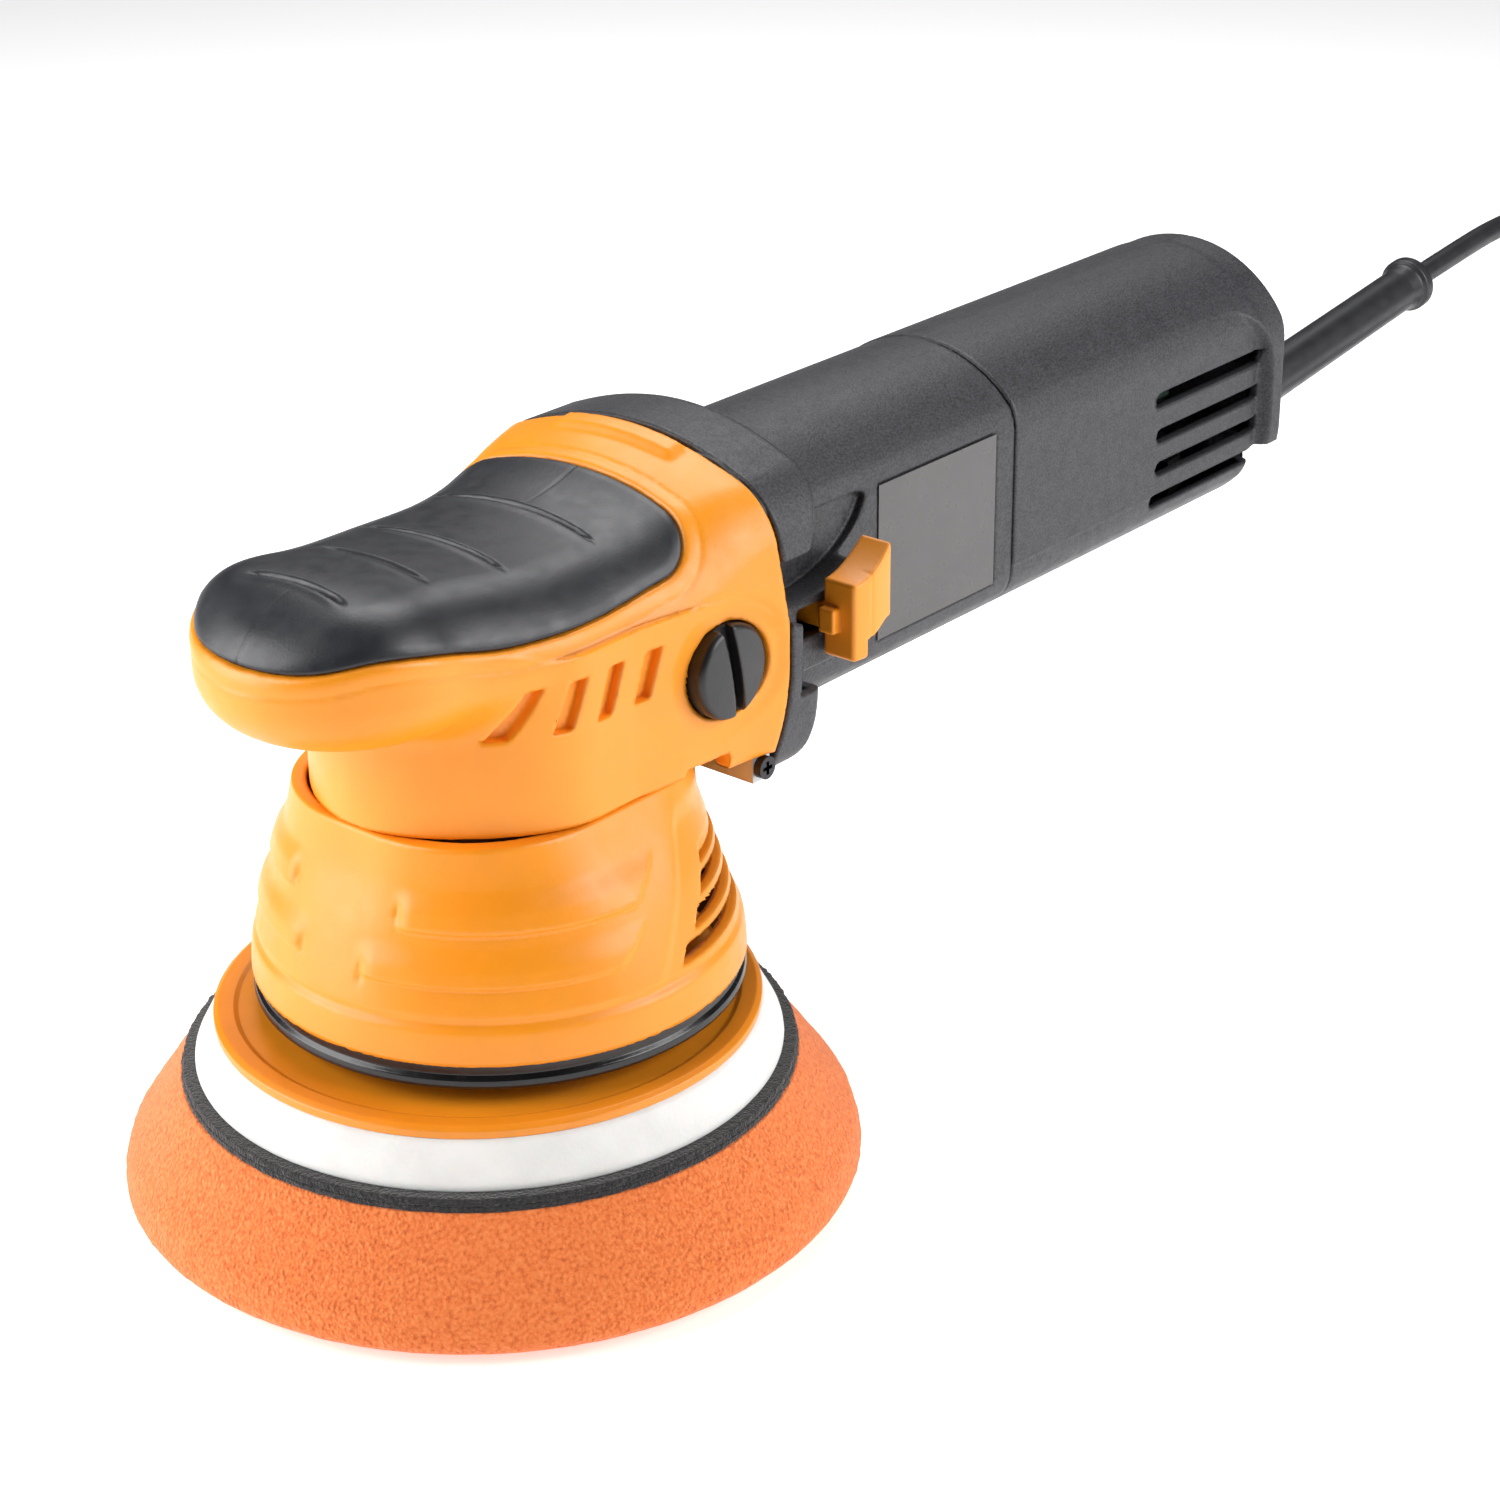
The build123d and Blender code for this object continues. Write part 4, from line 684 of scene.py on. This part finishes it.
def turned_piece(name, corners, segments, finish, body, replaces, axis_x=0.0, step=0.4, relief_of=None):
    """A turned piece from a rounded outline, with optional fine relief along its surface."""
    outline = rounded_outline(corners, step)
    points, quads = lathe(outline, segments, axis_x)
    if relief_of:
        size, depth, seed = relief_of
        lift = depth * seeded_noise(points, size, seed)
        flat = points - np.array((axis_x, 0, 0))
        flat[:, 2] = 0
        points = points + unit(flat) * lift[:, None]
        points[:, 2] += 0.3 * lift * (points[:, 2] > 1.0)
        points[:, 2] = np.maximum(points[:, 2], 0.0)
    return make_piece(name, points, quads, finish, body, None, replaces)


foam = turned_piece("foam_pad_cut", [
    (0, 0, 0), (73.5, 0, 4), (79.3, 3.6, 3.2), (77.4, 10.5, 8), (65.6, 27.0, 0.5), (0, 27.0, 0)],
    640, foam_orange, "pad", ("foam_pad",), -ORBIT, 0.7, (2.6, 0.13, 11))
turned_piece("loop_face", [(0, 27.0, 0), (65.4, 27.0, 0.4), (65.2, 28.3, 0.3), (0, 28.3, 0)],
             720, fleece_black, "pad", ("loop_disc",), -ORBIT, 0.6, (0.9, 0.22, 5))
turned_piece("hook_face", [(0, 28.3, 0), (65.1, 28.3, 0.3), (64.8, 29.8, 0.5), (0, 29.7, 0)],
             720, fleece_black, "pad", ("hook_disc",), -ORBIT, 0.6, (0.9, 0.2, 6))
white = turned_piece("backing_cushion", [
    (0, 29.7, 0), (62.3, 29.7, 0.6), (62.2, 31.2, 2), (58.3, 38.4, 2), (57.6, 39.1, 0.5), (0, 39.1, 0)],
    512, foam_white, "pad", ("backing_foam",), -ORBIT, 0.5, (3.0, 0.03, 8))
turned_piece("backing_dish", [
    (4.2, 39.1, 0.2), (57.7, 39.1, 0.3), (57.8, 40.9, 0.5), (56.6, 41.6, 0.8), (53.5, 41.5, 0.6),
    (52.5, 41.0, 0.6),
    (22, 41.7, 3), (14, 44.5, 2), (14, 49.5, 0.5), (4.2, 49.5, 0.4)],
    512, plate_orange, "pad", ("backing_plate",), -ORBIT, 0.5)
turned_piece("rubber_shroud", [
    (46.5, 45.6, 0.6), (49.6, 44.3, 0.8), (52.0, 44.9, 1.2), (51.7, 46.9, 0.7), (50.9, 47.6, 0.5),
    (51.1, 49.95, 0.3),
    (49.3, 50.05, 0.2), (48.7, 56, 0.5), (46.5, 56, 0.5)],
    512, ring_black, "housing", ("shroud_ring",), 0.0, 0.4)

# ================================================================ motor housing
BARREL_R, FLAT = 33.5, 26.5
SEAM_X, REAR_X, JOINT_X = 145.5, 259.0, 45.0
SHELL = 2.6


def barrel(y, z, radius=BARREL_R, flat=FLAT, edge=2.2):
    return round_meet(np.hypot(y, z - MOTOR_Z) - radius, np.abs(y) - flat, edge)


shoulder_x = curve_through(
    (82, 56.5), (92, 57.5), (100, 56.2), (118, 54.2), (127, 53.6), (132, 55), (138.5, 58.4),
    (142, 60.6), (146, 62), (156, 62.2))


def motor_form(x, y, z):
    """Flange behind the head, its shoulder, and the flat-sided barrel."""
    rear = np.full(np.shape(x), HEAD_REAR)
    upper = z - head_top(rear) + head_crown(rear) * (y / 40) ** 2
    section = round_meet(round_meet(head_sides(rear, y, z), upper, 8), 80.5 - z, 8)
    flange = round_meet(section, x - shoulder_x(z), 2.6)
    return smooth_union(flange, barrel(y, z), 2.0 + 11 * ramp(z, 132, 146))


def scoop(x, y, z):
    """The hollow between the shoulder and the switch, on the switch's side."""
    oval = (np.hypot((x - 62) / 29, (z - 134) / 18) - 1) * 18
    return np.maximum(round_meet(oval, z - 132.0, 2.5), y + 24.3)


def motor_housing(x, y, z):
    form = motor_form(x, y, z)
    boss = block(x, y, z, (50, -32.0, 99.5), (80.5, -22, 122.5), 1.5)
    boss = np.maximum(boss, -(np.hypot((x - 56) / 26.5, (z - 138.5) / 17.5) - 1) * 17)
    form = smooth_union(form, boss, 1.2)
    form = smooth_cut(form, scoop(x, y, z), 0.7)
    shell = np.maximum(form, -(form + SHELL))
    shell = round_meet(round_meet(shell, JOINT_X - x, 0.6), x - (SEAM_X - 0.2), 0.35)
    label = np.maximum(np.abs(x - 116.5) - 22.0, np.abs(z - MOTOR_Z) - 18.5)
    shell = np.maximum(shell, -np.maximum(label, FLAT - 0.8 - np.abs(y)))
    window = block(x, y, z, (48.4, -60, 101.5), (72, -33.0, 124.6), 0.8)
    rail = np.minimum(block(x, y, z, (50.5, -38.0, 118.6), (58.5, -32.5, 121.4), 0.5),
                      block(x, y, z, (50.5, -38.0, 104.6), (58.5, -32.5, 107.4), 0.5))
    floor = block(x, y, z, (47, -35.4, 100.5), (72, -32.6, 125.2), 0.6)
    shell = np.maximum(np.minimum(shell, np.maximum(floor, form + 0.4)), -window)
    slot = block(x, y, z, (60, -40, 107.4), (77.5, -20, 114.6), 0.8)
    return np.minimum(np.maximum(shell, -slot), np.maximum(rail, form + 1.0))


field_piece(
    "motor_shell", motor_housing, (44, -45, 79), (147, 45, 155), 0.72, body_black,
    "housing", ("motor_housing",))

# ================================================================ rear cover
STEP_Z, STEP_X = 98.0, 251.0
VENT_HEIGHTS = (121.6, 112.4, 104.0, 95.8)
VENT_STARTS = (203.5, 204.5, 204.5, 203.0)
DIAL_X = 165.0
BOOT_START, BOOT_TIP = np.array((259.0, 0, 91.8)), np.array((377.0, 0, 106.8))
BOOT_AXIS = (BOOT_TIP - BOOT_START) / np.linalg.norm(BOOT_TIP - BOOT_START)
BOOT_R = 6.2


def rear_cover(x, y, z):
    fin_x = 251.4 - 8.5 * np.clip((z - MOTOR_Z) / 20, 0, 1.2) ** 3
    fin = ramp(x, fin_x - 0.9, fin_x + 1.6)
    body = barrel(y, z, BARREL_R, FLAT + 3.3 * fin, 2.2)
    upper = round_meet(body, x - REAR_X + 0.1, 2.6)
    lower = round_meet(body, x - STEP_X, 4.5)
    form = smooth_union(np.maximum(upper, STEP_Z - z), lower, 1.2)
    seam = bump(y, 0, 0.35) * ramp(z, 130, 140)
    form = form + 0.12 * seam
    shell = np.maximum(form, -(form + SHELL))
    shell = round_meet(shell, SEAM_X + 0.2 - x, 0.35)
    inside = np.maximum(np.maximum(SEAM_X - 1 - x, x - STEP_X + 3),
                        barrel(y, z, BARREL_R - SHELL, FLAT - SHELL))
    shell = np.maximum(shell, -inside)
    for height, start in zip(VENT_HEIGHTS, VENT_STARTS):
        along = np.maximum(start + 1.9 - x, 0)
        slot = np.maximum(np.hypot(along, z - height) - 1.85, x - 250.6)
        shell = np.maximum(shell, -np.maximum(slot, 15 - np.abs(y)))
    divider = block(x, y, z, (198, 10, 79), (250, 11.6, 117), 0.3)
    shell = np.minimum(shell, np.maximum(divider, form + 1))
    p = np.stack([x - BOOT_START[0], y, z - BOOT_START[2]])
    along = p[0] * BOOT_AXIS[0] + p[2] * BOOT_AXIS[2]
    away = np.sqrt(np.maximum(p[0] ** 2 + p[1] ** 2 + p[2] ** 2 - along ** 2, 0))
    shell = np.maximum(shell, -np.maximum(away - BOOT_R - 0.15, -30 - along))
    dial = block(x, y, z, (DIAL_X - 11, 15, MOTOR_Z - 3.6), (DIAL_X + 11, 50, MOTOR_Z + 3.6), 0.6)
    return np.maximum(shell, -dial)


field_piece(
    "rear_shell", rear_cover, (144, -34, 79), (260, 34, 148), 0.75, body_black, "housing",
    ("rear_cover",))


# ================================================================ switch slider
def slider(x, y, z):
    """The sliding switch: a stepped block with a ramped, thumb-worn top."""
    top = z - (119.9 + 6.0 * (np.clip((x - 69) / 12, 0, 1)) ** 1.6)
    outer = np.maximum(-41.6 - y + 0.02 * (x - 74) ** 2, y + 32.5)
    ends = np.maximum(68.0 - x, x - 81.3)
    body = round_meet(round_meet(round_meet(outer, ends, 0.9), top, 0.9), 102.2 - z, 1.2)
    under = np.maximum(72.4 - x, z - (106.4 + 2.8 * ramp(x, 72.6, 80)))
    body = smooth_cut(body, under, 0.8)
    fold = 0.16 * bump(y + 41.6, 0, 2.5) * bump(x, 73.4, 0.5)
    hook = block(x, y, z, (65.6, -37.2, 108.4), (69, -33, 114), 0.6)
    stem = block(x, y, z, (68.2, -34, 108), (75.3, -22.5, 114), 0.5)
    return np.minimum(smooth_union(body + fold, hook, 0.5), stem)


field_piece(
    "switch_button", slider, (65, -43, 101), (82, -22, 127), 0.3, cover_orange,
    "switch", ("switch_slider",))


# ================================================================ port caps
def port_caps(x, y, z):
    """Coin-slot caps of the side handle ports, one on each side."""
    out = np.abs(y)
    r = np.hypot(x - PORT_X, z - PORT_Z)
    face = out - 41.9 + 0.7 * (r / 10.2) ** 2
    head = np.maximum(round_meet(r - 10.2, face, 1.2), 35 - out)
    head = np.minimum(head, np.maximum(r - 5, np.maximum(27 - out, out - 37)))
    lean = math.radians(10.5)
    across_slot = (x - PORT_X) * math.cos(lean) + (z - PORT_Z) * math.sin(lean)
    slot = np.maximum(np.abs(across_slot) - 1.35, 39.0 - out)
    return smooth_cut(head, slot, 0.35)


field_piece(
    "handle_port_caps", port_caps, (15, -44, 101), (40, 44, 126), 0.42, cap_black,
    "housing", ("port_caps",))


# ================================================================ strain relief
def along_boot(outline, segments):
    """Turn an outline of (radius, distance) about the strain relief's own axis."""
    points, quads = lathe(np.asarray(outline), segments)
    side = np.cross(BOOT_AXIS, (0, 1, 0))
    basis = np.stack([side, np.array((0, 1.0, 0)), BOOT_AXIS])
    return BOOT_START + points @ basis, quads


BOOT_LENGTH = float(np.linalg.norm(BOOT_TIP - BOOT_START))
boot_outline = rounded_outline([
    (3.15, -16, 0.2), (7.8, -16, 0.5), (7.8, -12.4, 0.4), (6.2, -12, 0.3), (6.25, 20, 30),
    (6.05, BOOT_LENGTH - 9, 2), (6.5, BOOT_LENGTH - 4.6, 1.2), (7.6, BOOT_LENGTH - 3.9, 0.8),
    (7.6, BOOT_LENGTH - 0.8, 0.8), (6.2, BOOT_LENGTH, 0.5),
    (3.15, BOOT_LENGTH, 0.2)], 0.8)
boot_points, boot_quads = along_boot(boot_outline, 128)
make_piece("strain_sleeve", boot_points, boot_quads, cord_black, "housing", None,
           ("strain_relief",))


# ================================================================ plug and tie
PLUG_X, PLUG_Y, PLUG_Z = 431.0, -106.0, 9.5


def plug(x, y, z):
    """A moulded two-pin plug with finger ribs, widening from the lead to its face."""
    t = np.clip((PLUG_X - x) / 36, 0, 1)
    swell = ramp(t, 0.1, 0.85)
    ribs = 0.5 * (np.cos((x - 400) * 2 * math.pi / 4.2) > 0.1) * ramp(t, 0.25, 0.35) * (1 - ramp(t, 0.8, 0.9))
    half_y, half_z = 6.5 + 10.3 * swell, 6.4 + 3.0 * swell
    body = round_meet(np.abs(y - PLUG_Y) - half_y + ribs, np.abs(z - PLUG_Z) - half_z, 5.5)
    return round_meet(body, np.abs(x - PLUG_X + 18) - 17.9, 1.2)


plug_body = field_piece(
    "plug_shell", plug, (394, -124, -0.5), (432, -88, 20), 0.5, cord_black, "housing",
    ("plug_body",))

# ================================================================ finishes of the CAD nodes
FINISHES = {
    casting: ["gear_housing", "bearing_cover", "bearing_retainer"],
    steel: ["spindle_bearing", "front_bearing", "rear_bearing", "pad_bearings", "eccentric_spindle",
            "counterweight", "bevel_gear", "gear_nut", "bevel_pinion", "armature_shaft", "armature_core",
            "stator_core", "plate_stud", "plate_washer", "pad_shaft", "housing_screws",
            "counterweight_screws", "rear_screws", "brush_springs"],
    screw_black: ["cover_screws"],
    bronze: ["spindle_bush", "brush_holders"],
    copper: ["commutator", "field_coils", "armature_winding"],
    carbon: ["carbon_brushes"],
    board_green: ["control_board"],
    inner_black: ["flange_gasket", "fan", "air_baffle", "dial_post", "switch_body", "switch_rod", "cord_clamp",
                  "speed_dial"],
    plate_dark: ["name_plates"],
    cord_black: ["lead_in", "cord_tie"],
    pin_metal: ["plug_pins"],
}
for finish, names in FINISHES.items():
    for name in names:
        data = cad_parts[name].data
        data.materials.clear()
        data.materials.append(finish)
